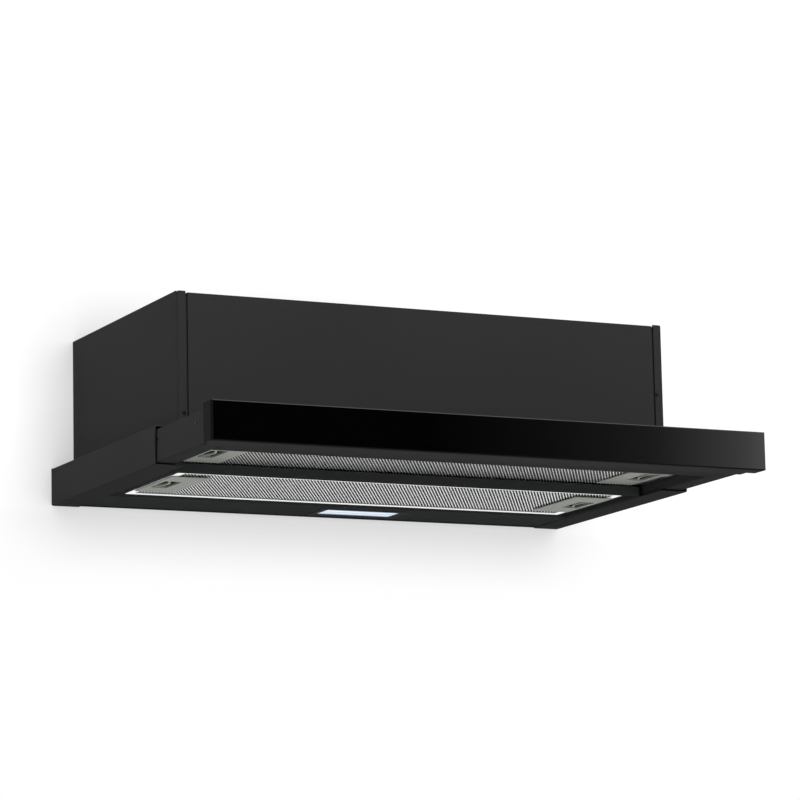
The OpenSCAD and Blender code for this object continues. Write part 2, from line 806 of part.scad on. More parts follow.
module motor() {
    color([0.45, 0.46, 0.48]) hung() difference() {
        union() {
            on_axis(motor_r, motor_x0 + 9, motor_x1 - 9);
            on_axis(motor_r - 3, motor_x0 + 4, motor_x1 - 4);
            on_axis(14, motor_x0, motor_x1);
            // lamination stack stands out between the end shells
            on_axis(motor_r + 1.5, motor_x0 + 14, motor_x1 - 14);
        }
        on_axis(shaft_r + run_gap, motor_x0 + 18, motor_x1 + 1);
    }
}

module motor_shaft() {
    color([0.75, 0.76, 0.78]) hung() on_axis(shaft_r, motor_x0 + 18.3, 22);
}

// Outline of one forward-curved blade
function blade_line(off) = [
    for (i = [0 : 5])
        let (r = wheel_r - blade_d + blade_d * i / 5)
        let (a = 16 * pow(i / 5, 1.6) + off / r * 180 / PI)
        r * [cos(a), sin(a)]
];

module fan_wheel() {
    half = wheel_w / 2;
    color([0.3, 0.31, 0.33]) hung() difference() {
        union() {
            translate([-half, -fan_y, fan_z]) rotate([90, 0, 90])
                for (i = [0 : blades - 1])
                    rotate(i * 360 / blades) linear_extrude(wheel_w)
                        polygon(concat(blade_line(-blade_t / 2), reverse(blade_line(blade_t / 2))));
            on_axis(wheel_r - blade_d / 2, 0, 2);
            for (x = [-half, half - 2.5])
                difference() {
                    on_axis(wheel_r + wheel_rim, x, x + 2.5);
                    on_axis(wheel_r - 3.5, x - 1, x + 3.5);
                }
            on_axis(10, -4, 16);
        }
        on_axis(shaft_r + 0.02, -5, 17);
        // air holes in the disc
        for (a = [0 : 60 : 300])
            translate([-1, -fan_y, fan_z]) rotate([a, 0, 0]) translate([0, 25, 0])
                rotate([0, 90, 0]) cylinder(r = 7, h = 4);
    }
}

module capacitor() {
    r = 14;
    x0 = 82;
    z = cover_z - r - 3;
    y = -case_d * 0.8;
    color([0.8, 0.8, 0.78]) hung() {
        translate([x0, y, z]) rotate([0, 90, 0]) cylinder(r = r, h = 52);
        translate([x0 + 52, y, z]) rotate([0, 90, 0]) cylinder(r = 4, h = 5);
        // clip under the top plate
        difference() {
            translate([x0 + 16, y, z]) rotate([0, 90, 0]) cylinder(r = r + 1.5, h = 12);
            translate([x0 + 15, y, z]) rotate([0, 90, 0]) cylinder(r = r - 1, h = 14);
        }
        block([x0 + 16, y - 9, z + r - 2], [x0 + 28, y + 9, cover_z]);
    }
}

// ---- supply and control ----

module control_box() {
    low = cover_z - box_h;
    color([0.12, 0.12, 0.13]) hung() difference() {
        block([box_x, box_y - box_d, low], [box_x + box_w, box_y, cover_z]);
        block([box_x + 2, box_y - box_d + 2, low - 1], [box_x + box_w - 2, box_y - 2, cover_z - 2]);
        translate([gland_x, gland_y, cover_z - 3]) cylinder(r = cable_r + 4.2, h = 4);
    }
}

module control_box_lid() {
    low = cover_z - box_h;
    color([0.14, 0.14, 0.15]) hung() {
        block([box_x - 1, box_y - box_d - 1, low - 2], [box_x + box_w + 1, box_y + 1, low]);
        difference() {
            block([box_x + 2.3, box_y - box_d + 2.3, low - 1], [box_x + box_w - 2.3, box_y - 2.3, low + 4]);
            block([box_x + 4, box_y - box_d + 4, low], [box_x + box_w - 4, box_y - 4, low + 5]);
        }
    }
}

module cable_gland() {
    neck = cable_r + 4;
    color([0.1, 0.1, 0.1]) hung() translate([gland_x, gland_y, 0]) difference() {
        union() {
            translate([0, 0, cover_z - 10]) cylinder(r = neck, h = 12);
            translate([0, 0, cover_top]) cylinder(r = neck + 3.5, h = 5, $fn = 6);
            translate([0, 0, cover_top + 4.9]) cylinder(r = neck + 1.5, h = 5);
            translate([0, 0, cover_top + 9.8]) cylinder(r1 = neck + 1.5, r2 = neck - 1, h = 5);
            translate([0, 0, cover_z - 6]) cylinder(r = neck + 3.5, h = 4, $fn = 6);
        }
        translate([0, 0, cover_z - 12]) cylinder(r = cable_r, h = 30);
    }
}

// ---- air outlet ----

module outlet_collar() {
    stop = flap_z - seat_gap;
    color([0.14, 0.14, 0.15]) hung() translate([0, -collar_y, 0]) difference() {
        union() {
            rotate_extrude($fn = 128) polygon([
                [collar_in, cover_top], [collar_flange, cover_top],
                [collar_flange, cover_top + collar_base], [collar_r, cover_top + collar_base],
                [collar_r, collar_top - 1], [collar_r - 1, collar_top],
                [collar_in, collar_top]
            ]);
            // seat of the flaps
            difference() {
                translate([0, 0, stop - 2.2]) cylinder(r = collar_in + 0.5, h = 2.2, $fn = 96);
                translate([0, 0, stop - 3]) cylinder(r = collar_in - 4, h = 4, $fn = 96);
            }
            // bosses of the flap pin
            for (side = [-1, 1]) on_side(side)
                translate([collar_in - 4.5, 0, pin_z]) rotate([0, 90, 0]) cylinder(r = 3.2, h = 5);
        }
        translate([-collar_in + 0.6, 0, pin_z]) rotate([0, 90, 0])
            cylinder(r = pin_r + 0.02, h = 2 * collar_in - 1.2);
        for (a = [45, 135, 225, 315])
            rotate(a) translate([collar_screw, 0, cover_top - 1]) cylinder(r = 1.6, h = collar_base + 2);
    }
}

module flap_pin() {
    color([0.75, 0.76, 0.78]) hung() translate([-collar_in + 0.8, -collar_y, pin_z])
        rotate([0, 90, 0]) cylinder(r = pin_r, h = 2 * collar_in - 1.6);
}

// Half-round flap; side -1 lies to the front of the pin, 1 to the rear
module flap(side, knuckles) {
    translate([0, -collar_y, 0]) difference() {
        union() {
            translate([0, 0, flap_z]) linear_extrude(flap_t) intersection() {
                circle(r = flap_r, $fn = 128);
                translate([-flap_r, side > 0 ? flap_gap : -flap_gap - flap_r]) square([2 * flap_r, flap_r]);
            }
            for (x = knuckles) {
                translate([x, 0, pin_z]) rotate([0, 90, 0]) cylinder(r = knuckle_r, h = 20);
                block([x, side > 0 ? 0 : -flap_gap - 1.5, flap_z],
                      [x + 20, side > 0 ? flap_gap + 1.5 : 0, flap_z + 2.4]);
            }
        }
        translate([-flap_r - 1, 0, pin_z]) rotate([0, 90, 0])
            cylinder(r = pin_r + run_gap, h = 2 * flap_r + 2);
    }
}

module flap_front() color([0.2, 0.2, 0.21]) hung() flap(-1, [-45, 3]);

module flap_rear() color([0.2, 0.2, 0.21]) hung() flap(1, [-21, 27]);

// ---- runners ----

module rail_shape() {
    half = runner_h / 2;
    x1 = leg_x + runner_t - 3;
    polygon([
        [leg_x, runner_z - half], [x1, runner_z - half], [x1, runner_z - half + rail_t],
        [leg_x + rail_t, runner_z - half + rail_t], [leg_x + rail_t, runner_z + half - rail_t],
        [x1, runner_z + half - rail_t], [x1, runner_z + half], [leg_x, runner_z + half]
    ]);
}

slide_half = runner_h / 2 - rail_t - 2 * ball_r - 0.6;

module slide_shape() {
    x0 = leg_x + 4;
    x1 = leg_x + runner_t;
    polygon([
        [x1, runner_z - slide_half], [x1, runner_z + slide_half], [x0, runner_z + slide_half],
        [x0, runner_z + slide_half - rail_t], [x1 - rail_t, runner_z + slide_half - rail_t],
        [x1 - rail_t, runner_z - slide_half + rail_t], [x0, runner_z - slide_half + rail_t],
        [x0, runner_z - slide_half]
    ]);
}

module runner_rail(side) {
    on_side(side) difference() {
        along_y(rail_front, rail_front + rail_len) rail_shape();
        for (y = [0.1, 0.5, 0.9])
            translate([leg_x - 1, rail_front + rail_len * y, runner_z])
                rotate([0, 90, 0]) cylinder(r = 2.2, h = rail_t + 2);
    }
}

module ball_cage(side) {
    row = slide_half + ball_r + 0.3;
    x0 = leg_x + 1.8;
    x1 = leg_x + 9;
    y0 = cage_back - cage_len;
    on_side(side) {
        along_y(y0, cage_back) polygon([
            [x0, runner_z - row - 0.4], [x1, runner_z - row - 0.4], [x1, runner_z - row + 0.4],
            [x0 + 0.7, runner_z - row + 0.4], [x0 + 0.7, runner_z + row - 0.4],
            [x1, runner_z + row - 0.4], [x1, runner_z + row + 0.4], [x0, runner_z + row + 0.4]
        ]);
        for (s = [-1, 1])
            for (i = [0 : balls - 1])
                translate([x1 - 2.2, y0 + (i + 0.5) * cage_len / balls, runner_z + s * row])
                    sphere(r = ball_r, $fn = 24);
    }
}

module runner_slide(side) {
    on_side(side) difference() {
        along_y(slide_front, drawer_back) slide_shape();
        for (y = [0.1, 0.5, 0.9])
            translate([leg_x + runner_t - rail_t - 1, slide_front + slide_len * y, runner_z])
                rotate([0, 90, 0]) cylinder(r = 1.7, h = rail_t + 2);
    }
}

module runner_rail_left() color([0.7, 0.71, 0.73]) hung() runner_rail(-1);

module runner_rail_right() color([0.7, 0.71, 0.73]) hung() runner_rail(1);

module ball_cage_left() color([0.62, 0.63, 0.65]) hung() ball_cage(-1);

module ball_cage_right() color([0.62, 0.63, 0.65]) hung() ball_cage(1);

module runner_slide_left() color([0.7, 0.71, 0.73]) hung() runner_slide(-1);

module runner_slide_right() color([0.7, 0.71, 0.73]) hung() runner_slide(1);

// ---- drawer ----

// Places of the screws that hold the panel to the drawer's front wall
panel_screws = [-drawer_x + 12, -drawer_x / 3, drawer_x / 3, drawer_x - 12];

module drawer_frame() {
    mid = sheet / 2;
    front_wall = panel_y + sheet;
    ledge = front_filter_z + ledge_z;
    color([0.17, 0.17, 0.17]) hung() difference() {
        union() {
            for (side = [-1, 1]) on_side(side) {
                along_y(panel_y, drawer_back) polygon(folded([
                    [drawer_x - drawer_lip, drawer_top - mid],
                    [drawer_x - mid, drawer_top - mid],
                    [drawer_x - mid, drawer_z + mid],
                    [channel_x + mid, drawer_z + mid],
                    [channel_x + mid, deck_top - sheet]
                ]));
                block([channel_x - drawer_ledge, step_y, ledge],
                      [channel_x + mid, rail_y + rail_d, ledge + sheet]);
            }
            // strip behind the panel, its step up and the wall behind the panel
            block([-channel_x - mid, panel_y, drawer_z], [channel_x + mid, step_y + sheet, drawer_z + sheet]);
            block([-channel_x - mid, step_y, drawer_z], [channel_x + mid, step_y + sheet, front_filter_z + 10]);
            block([-drawer_x + mid, panel_y, drawer_z], [drawer_x - mid, front_wall, drawer_top]);
            // rail behind the filter
            block([-channel_x - mid, rail_y, front_filter_z + 0.6],
                  [channel_x + mid, rail_y + rail_d, front_filter_z + 0.6 + sheet]);
            block([-channel_x - mid, rail_y, front_filter_z + 0.6], [channel_x + mid, rail_y + sheet, front_filter_z + 10]);
        }
        for (x = panel_screws)
            translate([x, panel_y - 1, panel_screw_z]) rotate([-90, 0, 0]) cylinder(r = 1.6, h = sheet + 2);
        for (side = [-1, 1])
            on_side(side) for (y = [0.1, 0.5, 0.9])
                translate([drawer_x - sheet - 1, slide_front + slide_len * y, runner_z])
                    rotate([0, 90, 0]) cylinder(r = 1.3, h = sheet + 2);
    }
}

module drawer_deck() {
    edge = channel_x + sheet;
    low = deck_top - sheet;
    color([0.16, 0.16, 0.16]) hung() difference() {
        union() {
            block([-edge, panel_y + sheet, low], [edge, panel_y + deck_d, deck_top]);
            // lip along the rear edge
            block([-edge + 4, panel_y + deck_d - sheet, low - 4], [edge - 4, panel_y + deck_d, deck_top]);
            // stiffening beads
            for (y = [60, 95])
                along_x(-230, 230) polygon([
                    [panel_y + y, low], [panel_y + y + 8, low],
                    [panel_y + y + 7, low - 1.2], [panel_y + y + 1, low - 1.2]
                ]);
        }
        for (i = [0 : buttons - 1])
            button_block(i, 0.3, low - 6, deck_top + 1);
    }
}

module front_panel() {
    wall = 1.2;
    half = panel_w / 2;
    y0 = panel_y - panel_d;
    top = panel_z + panel_h;
    low = drawer_z - rest_gap - sheet;
    color([0.16, 0.16, 0.16]) hung() difference() {
        union() {
            difference() {
                block([-half, y0, panel_z], [half, panel_y, top]);
                block([-half + wall, y0 + wall, panel_z + wall], [half - wall, panel_y - sheet, top - wall]);
                block([-half + panel_rim, y0 + wall, panel_z + panel_rim],
                      [half - panel_rim, panel_y + 1, top - panel_rim]);
            }
            // flange under the drawer
            block([-drawer_x + 1, panel_y - 2, low], [drawer_x - 1, panel_y + panel_flange, low + sheet]);
        }
        for (x = panel_screws)
            translate([x, panel_y - 5, panel_screw_z]) rotate([-90, 0, 0]) cylinder(r = 1.2, h = 7);
    }
}

module glass_fascia() {
    half = panel_w / 2;
    y1 = panel_y - panel_d;
    y0 = y1 - glass_t;
    top = panel_z + panel_h;
    b = glass_bevel;
    color([0.02, 0.02, 0.02]) hung() intersection() {
        along_x(-half, half) polygon([
            [y0 + b, panel_z], [y1, panel_z], [y1, top], [y0 + b, top], [y0, top - b], [y0, panel_z + b]
        ]);
        translate([0, 0, panel_z - 1]) linear_extrude(panel_h + 2) polygon([
            [-half, y1], [-half, y0 + b], [-half + b, y0], [half - b, y0], [half, y0 + b], [half, y1]
        ]);
    }
}

// ---- controls ----

// Space of button i, counted from the left, grown by gap
module button_block(i, gap, z0, z1) {
    x = switch_x + (i - (buttons - 1) / 2) * button_pitch;
    y = switch_y + switch_d / 2;
    block([x - button_w / 2 - gap, y - button_d / 2 - gap, z0], [x + button_w / 2 + gap, y + button_d / 2 + gap, z1]);
}

switch_low = deck_top - sheet - 16;

module switch_housing() {
    top = deck_top - sheet;
    color([0.12, 0.12, 0.12]) hung() difference() {
        block([switch_x - switch_w / 2, switch_y, switch_low], [switch_x + switch_w / 2, switch_y + switch_d, top]);
        for (i = [0 : buttons - 1])
            button_block(i, 0.3, switch_low + 2, top + 1);
    }
}

module button(i) {
    x = switch_x + (i - (buttons - 1) / 2) * button_pitch;
    y = switch_y + switch_d / 2;
    color([0.25, 0.25, 0.26]) hung() difference() {
        button_block(i, 0, switch_low + 2 + button_travel + 0.3, button_top);
        // hollow for the fingertip
        translate([x, y - button_d, button_top + 19]) rotate([-90, 0, 0]) cylinder(r = 20, h = 2 * button_d, $fn = 96);
    }
}

module button_1() button(0);

module button_2() button(1);

module button_3() button(2);

module button_4() button(3);

module button_5() button(4);

// Switch behind the left side of the drawer, and its plunger
plunger_x = leg_x + runner_t - 1.6;
plunger_y = drawer_back + travel + seat_gap;

module start_switch() {
    color([0.1, 0.1, 0.1]) hung() on_side(-1) difference() {
        block([leg_x + 2, -25, runner_z - 8], [skirt_x - sheet - 0.4, -sheet, runner_z + 8]);
        translate([plunger_x, -26, runner_z]) rotate([-90, 0, 0]) cylinder(r = 2.4 + run_gap, h = 14);
    }
}

module start_plunger() {
    color([0.7, 0.2, 0.15]) hung() on_side(-1)
        translate([plunger_x, plunger_y, runner_z]) rotate([-90, 0, 0]) cylinder(r = 2.4, h = -16 - plunger_y);
}

// ---- screws ----

// Pan-head screw with its head's underside at the origin, pointing down
module screw(len) {
    translate([0, 0, -len]) cylinder(r = 1.1, h = len + 0.1, $fn = 24);
    intersection() {
        cylinder(r = 2.4, h = 1.4, $fn = 32);
        translate([0, 0, -2.2]) sphere(r = 3.6, $fn = 32);
    }
}

module casing_screws() {
    color([0.1, 0.1, 0.1]) hung() {
        for (side = [-1, 1]) on_side(side) {
            for (z = screw_levels(side))
                translate([screw_x, -case_d, z]) rotate([90, 0, 0]) screw(5);
            for (y = [0.2, 0.5, 0.8])
                translate([case_x + foot_w / 2, -case_d * y, skirt_h + sheet]) screw(3);
            for (y = [0.2, 0.8])
                translate([case_x - 7, -case_d * y, cover_top]) screw(4);
        }
        for (a = [45, 135, 225, 315])
            translate([0, -collar_y, cover_top + collar_base]) rotate(a) translate([collar_screw, 0, 0]) screw(5);
    }
}

module drawer_screws() {
    color([0.1, 0.1, 0.1]) hung() {
        for (x = panel_screws)
            translate([x, panel_y + sheet, panel_screw_z]) rotate([-90, 0, 0]) screw(4);
        for (side = [-1, 1])
            on_side(side) for (y = [0.1, 0.5, 0.9])
                translate([drawer_x - sheet - rail_t, slide_front + slide_len * y, runner_z])
                    rotate([0, -90, 0]) screw(rail_t + 0.8);
    }
}

casing_left();
casing_right();
casing_back();
casing_front();
casing_top();
skirt_left();
skirt_right();
base_tray();
rear_filter_frame();
rear_filter_face();
rear_filter_core();
rear_latch_plate_left();
rear_latch_plate_right();
rear_latch_slide_left();
rear_latch_slide_right();
lamp_housing();
lamp_window();
lamp_board();
fan_housing_left();
fan_housing_right();
motor_bracket();
motor();
motor_shaft();
fan_wheel();
capacitor();
control_box();
control_box_lid();
cable_gland();
outlet_collar();
flap_pin();
flap_front();
flap_rear();
runner_rail_left();
runner_rail_right();
ball_cage_left();
ball_cage_right();
runner_slide_left();
runner_slide_right();
drawer_frame();
drawer_deck();
front_panel();
glass_fascia();
front_filter_frame();
front_filter_face();
front_filter_core();
front_latch_plate_left();
front_latch_plate_right();
front_latch_slide_left();
front_latch_slide_right();
switch_housing();
button_1();
button_2();
button_3();
button_4();
button_5();
start_switch();
start_plunger();
casing_screws();
drawer_screws();
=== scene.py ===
import math

import bmesh
import bpy
from mathutils import Matrix, Vector


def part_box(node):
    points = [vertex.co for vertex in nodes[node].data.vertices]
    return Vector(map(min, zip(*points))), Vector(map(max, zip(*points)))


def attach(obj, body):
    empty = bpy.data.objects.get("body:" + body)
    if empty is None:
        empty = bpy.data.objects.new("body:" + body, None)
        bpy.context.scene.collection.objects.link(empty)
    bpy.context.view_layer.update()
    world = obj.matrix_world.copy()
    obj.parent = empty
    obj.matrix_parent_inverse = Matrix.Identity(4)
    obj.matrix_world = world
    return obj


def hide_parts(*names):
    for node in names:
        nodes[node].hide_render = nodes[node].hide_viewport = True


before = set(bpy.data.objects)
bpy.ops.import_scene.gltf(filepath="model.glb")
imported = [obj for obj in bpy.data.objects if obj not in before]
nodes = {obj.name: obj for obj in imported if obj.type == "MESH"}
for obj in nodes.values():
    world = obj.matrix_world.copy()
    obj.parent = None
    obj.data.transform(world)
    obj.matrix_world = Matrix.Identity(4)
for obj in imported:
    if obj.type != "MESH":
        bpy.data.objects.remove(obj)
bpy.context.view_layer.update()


# ---------------------------------------------------------------- casing
# The casing is folded from 1 mm sheet steel and screwed together at its
# flanges.  All its plates have a fine-grained satin black powder coat.

def value_group(name, inputs, outputs):
    """An empty shader node group with float inputs, given as (name, value)."""
    group = bpy.data.node_groups.new(name, "ShaderNodeTree")
    for socket, value in inputs:
        made = group.interface.new_socket(socket, in_out="INPUT", socket_type="NodeSocketFloat")
        made.default_value = value
    for socket, kind in outputs:
        group.interface.new_socket(socket, in_out="OUTPUT", socket_type=kind)
    return group, group.nodes.new("NodeGroupInput"), group.nodes.new("NodeGroupOutput")


def object_noise(tree, links, scale, detail, scale_from=None):
    """A noise texture on Object coordinates."""
    place = tree.new("ShaderNodeTexCoord")
    noise = tree.new("ShaderNodeTexNoise")
    noise.inputs["Detail"].default_value = detail
    noise.inputs["Scale"].default_value = scale
    links.new(place.outputs["Object"], noise.inputs["Vector"])
    if scale_from is not None:
        links.new(scale_from, noise.inputs["Scale"])
    return noise


def maths(tree, links, operation, a, b=None, c=None, clamp=False):
    """A Math node whose operands are sockets or numbers; gives its output."""
    node = tree.new("ShaderNodeMath")
    node.operation = operation
    node.use_clamp = clamp
    for socket, given in zip(node.inputs, (a, b, c)):
        if given is None:
            continue
        if isinstance(given, (int, float)):
            socket.default_value = given
        else:
            links.new(given, socket)
    return node.outputs[0]


def make_powder_grain():
    """Orange peel of a powder coat, and slow changes in its gloss."""
    group, given, out = value_group(
        "powder_grain",
        [("Grain", 900.0), ("Cloud", 6.0)],
        [("Height", "NodeSocketFloat"), ("Gloss", "NodeSocketFloat")],
    )
    tree, links = group.nodes, group.links
    peel = object_noise(tree, links, 900, 2, given.outputs["Grain"])
    cloud = object_noise(tree, links, 6, 3, given.outputs["Cloud"])
    links.new(peel.outputs["Fac"], out.inputs["Height"])
    links.new(cloud.outputs["Fac"], out.inputs["Gloss"])
    return group


def make_edge_mask():
    """Mask of the outer edges, where the bevelled normal turns away from the true one."""
    group, given, out = value_group(
        "edge_tone_mask", [("Radius", 0.0005), ("Strength", 4.0)], [("Mask", "NodeSocketFloat")]
    )
    tree, links = group.nodes, group.links
    bevel = tree.new("ShaderNodeBevel")
    bevel.samples = 4
    links.new(given.outputs["Radius"], bevel.inputs["Radius"])
    surface = tree.new("ShaderNodeNewGeometry")
    dot = tree.new("ShaderNodeVectorMath")
    dot.operation = "DOT_PRODUCT"
    links.new(bevel.outputs["Normal"], dot.inputs[0])
    links.new(surface.outputs["Normal"], dot.inputs[1])
    lost = maths(tree, links, "SUBTRACT", 1.0, dot.outputs["Value"])
    mask = maths(tree, links, "MULTIPLY", lost, given.outputs["Strength"], clamp=True)
    links.new(mask, out.inputs["Mask"])
    return group


POWDER_GRAIN = make_powder_grain()
EDGE_MASK = make_edge_mask()


def new_material(name):
    """A material with an empty Principled shader: (material, nodes, links, shader)."""
    material = bpy.data.materials.new(name)
    material.use_nodes = True
    tree, links = material.node_tree.nodes, material.node_tree.links
    shader = tree["Principled BSDF"]
    return material, tree, links, shader


def ramp(tree, links, fac, low, high):
    """Colour between low and high, as fac goes from 0 to 1."""
    mix = tree.new("ShaderNodeMix")
    mix.data_type = "RGBA"
    mix.inputs["A"].default_value = (*low, 1)
    mix.inputs["B"].default_value = (*high, 1)
    links.new(fac, mix.inputs["Factor"])
    return mix.outputs["Result"]


def rounded_bump(tree, links, shader, height, strength, distance, radius):
    """Bump over edges that the shader rounds by radius."""
    bump = tree.new("ShaderNodeBump")
    bump.inputs["Strength"].default_value = strength
    bump.inputs["Distance"].default_value = distance
    links.new(height, bump.inputs["Height"])
    if radius:
        bevel = tree.new("ShaderNodeBevel")
        bevel.samples = 4
        bevel.inputs["Radius"].default_value = radius
        links.new(bevel.outputs["Normal"], bump.inputs["Normal"])
    links.new(bump.outputs["Normal"], shader.inputs["Normal"])


def edge_tint(tree, links, body, edge_colour, radius=0.0005, strength=4.0):
    """The colour body, turning to another colour along outer edges; where that colour is lighter it is a
    painted highlight.
    """
    edge_mask_node = tree.new("ShaderNodeGroup")
    edge_mask_node.node_tree = EDGE_MASK
    edge_mask_node.inputs["Radius"].default_value = radius
    edge_mask_node.inputs["Strength"].default_value = strength
    mix = tree.new("ShaderNodeMix")
    mix.data_type = "RGBA"
    mix.inputs["B"].default_value = (*edge_colour, 1)
    links.new(edge_mask_node.outputs["Mask"], mix.inputs["Factor"])
    links.new(body, mix.inputs["A"])
    return mix.outputs["Result"]


def coated(name, colour, roughness, specular, edge=-0.012):
    """Powder coat: a grained colour, shifted by edge along its outer edges: darker by default, lighter as a
    painted highlight when edge is positive.
    """
    material, tree, links, shader = new_material(name)
    grain = tree.new("ShaderNodeGroup")
    grain.node_tree = POWDER_GRAIN
    body = ramp(
        tree, links, grain.outputs["Gloss"], [c * 0.93 for c in colour], [c * 1.07 for c in colour]
    )
    body = edge_tint(tree, links, body, [max(0.002, c + edge) for c in colour])
    links.new(body, shader.inputs["Base Color"])
    rough = maths(tree, links, "MULTIPLY_ADD", grain.outputs["Gloss"], 0.12, roughness - 0.06)
    links.new(rough, shader.inputs["Roughness"])
    shader.inputs["Specular IOR Level"].default_value = specular
    rounded_bump(tree, links, shader, grain.outputs["Height"], 0.25, 0.0002, 0.0004)
    return material


def dress(material, *names):
    """Gives CAD nodes this material in all their slots."""
    for name in names:
        mesh = nodes[name].data
        for i in range(max(1, len(mesh.materials))):
            if i < len(mesh.materials):
                mesh.materials[i] = material
            else:
                mesh.materials.append(material)


casing_coat = coated("casing_coat", (0.0285, 0.0283, 0.028), 0.55, 0.012)
dress(casing_coat, "casing_left", "casing_right", "casing_back", "casing_front", "casing_top")


# ---------------------------------------------------------------- skirt and base tray
# The skirt is a folded channel along each side, and the tray between them
# closes the bottom.  Both are powder coated like the casing.

skirt_coat = coated("skirt_coat", (0.042, 0.042, 0.0417), 0.65, 0.0008)
dress(skirt_coat, "skirt_left", "skirt_right")
dress(coated("tray_coat", (0.04, 0.0445, 0.0432), 0.7, 0.0015), "base_tray")


# ---------------------------------------------------------------- lamp
# An LED strip behind a frosted window, in a black moulded frame that snaps
# into the tray from below.

def moulded(name, colour, roughness, specular=0.4, grain=1400.0, bump=0.35, edge=None):
    """Moulded plastic with a fine spark-eroded grain; edge, when given, is a painted highlight along its
    outer edges.
    """
    material, tree, links, shader = new_material(name)
    texture = tree.new("ShaderNodeGroup")
    texture.node_tree = POWDER_GRAIN
    texture.inputs["Grain"].default_value = grain
    texture.inputs["Cloud"].default_value = 14
    body = ramp(
        tree, links, texture.outputs["Gloss"], [c * 0.9 for c in colour], [c * 1.1 for c in colour]
    )
    # an edge colour paints the outer edges lighter: a painted highlight
    if edge:
        body = edge_tint(tree, links, body, edge, 0.0004, 5)
    links.new(body, shader.inputs["Base Color"])
    rough = maths(tree, links, "MULTIPLY_ADD", texture.outputs["Gloss"], 0.1, roughness - 0.05)
    links.new(rough, shader.inputs["Roughness"])
    shader.inputs["Specular IOR Level"].default_value = specular
    rounded_bump(tree, links, shader, texture.outputs["Height"], bump, 0.00012, 0.0003)
    return material


black_plastic = moulded("black_plastic", (0.012, 0.012, 0.013), 0.5)
dress(black_plastic, "control_box", "control_box_lid", "cable_gland",
      "outlet_collar", "switch_housing", "start_switch")

# the frame's outer edges are painted lighter: a painted highlight along its bevels
lamp_plastic = moulded("lamp_frame", (0.02, 0.022, 0.0215), 0.6, 0.01, edge=(0.12, 0.12, 0.12))
dress(lamp_plastic, "lamp_housing")

board_white = moulded("board_white", (0.82, 0.83, 0.8), 0.45)
dress(board_white, "lamp_board")

lens, tree, links, shader = new_material("lamp_lens")
stripes = tree.new("ShaderNodeTexWave")
stripes.bands_direction = "Y"
stripes.inputs["Scale"].default_value = 26
stripes.inputs["Distortion"].default_value = 2.2
stripes.inputs["Detail Scale"].default_value = 0.6
place = tree.new("ShaderNodeTexCoord")
links.new(place.outputs["Object"], stripes.inputs["Vector"])
glow = ramp(tree, links, stripes.outputs["Fac"], (0.36, 0.45, 0.66), (0.86, 0.97, 1.0))
links.new(glow, shader.inputs["Base Color"])
links.new(glow, shader.inputs["Emission Color"])
shader.inputs["Emission Strength"].default_value = 0.5
shader.inputs["Roughness"].default_value = 0.35
dress(lens, "lamp_window")


# ---------------------------------------------------------------- fan
# A double-inlet wheel with forward-curved blades turns in a plastic scroll.
# The motor sits in its left inlet, on a three-armed steel bracket.

def metal(name, colour, roughness, grain=(1, 1, 1), grain_scale=400.0, bump=0.1,
          radius=0.0003, metallic=1.0):
    """Bare metal with fine drawing lines; grain stretches them along an axis."""
    material, tree, links, shader = new_material(name)
    place = tree.new("ShaderNodeTexCoord")
    stretch = tree.new("ShaderNodeMapping")
    stretch.inputs["Scale"].default_value = grain
    lines = tree.new("ShaderNodeTexNoise")
    lines.inputs["Scale"].default_value = grain_scale
    lines.inputs["Detail"].default_value = 3
    links.new(place.outputs["Object"], stretch.inputs["Vector"])
    links.new(stretch.outputs["Vector"], lines.inputs["Vector"])
    body = ramp(
        tree, links, lines.outputs["Fac"], [c * 0.88 for c in colour], [min(1, c * 1.1) for c in colour]
    )
    links.new(body, shader.inputs["Base Color"])
    shader.inputs["Metallic"].default_value = metallic
    rough = maths(tree, links, "MULTIPLY_ADD", lines.outputs["Fac"], 0.16, roughness - 0.08)
    links.new(rough, shader.inputs["Roughness"])
    rounded_bump(tree, links, shader, lines.outputs["Fac"], bump, 0.0001, radius)
    return material


fan_plastic = moulded("fan_plastic", (0.03, 0.03, 0.033), 0.5)
dress(fan_plastic, "fan_housing_left", "fan_housing_right", "flap_front", "flap_rear")
dress(moulded("wheel_plastic", (0.05, 0.052, 0.058), 0.4), "fan_wheel")
dress(metal("motor_metal", (0.42, 0.43, 0.44), 0.4, (1, 30, 30)), "motor")
zinc = metal("zinc_steel", (0.62, 0.63, 0.64), 0.34, (0.2, 1, 1), 150)
dress(zinc, "motor_bracket", "runner_rail_left", "runner_rail_right", "ball_cage_left",
      "ball_cage_right", "runner_slide_left", "runner_slide_right")
dress(metal("ground_steel", (0.7, 0.71, 0.72), 0.15, (60, 1, 1)), "motor_shaft", "flap_pin")
dress(moulded("capacitor_case", (0.7, 0.7, 0.66), 0.3), "capacitor")


# ---------------------------------------------------------------- drawer
# The drawer's frame and deck are folded steel.  Its front panel is a pan of
# the same steel with a black-enamelled glass strip glued to its face.

drawer_coat = coated("drawer_coat", (0.039, 0.0393, 0.0387), 0.6, 0.001)
dress(drawer_coat, "drawer_frame", "drawer_deck")
panel_coat = coated("panel_coat", (0.014, 0.014, 0.0138), 0.6, 0.01)
dress(panel_coat, "front_panel")

fascia, tree, links, shader = new_material("fascia_glass")
smear = object_noise(tree, links, 9, 4)
black = ramp(tree, links, smear.outputs["Fac"], (0.0006, 0.0006, 0.0007), (0.001, 0.001, 0.0011))
links.new(black, shader.inputs["Base Color"])
gloss = maths(tree, links, "MULTIPLY_ADD", smear.outputs["Fac"], 0.03, 0.01)
links.new(gloss, shader.inputs["Roughness"])
shader.inputs["IOR"].default_value = 1.52
# the glass's ground edges are painted lighter along their outer edges: a painted highlight
ground_edge = coated("ground_glass_edge", (0.006, 0.006, 0.0062), 0.8, 0.01, 0.012)

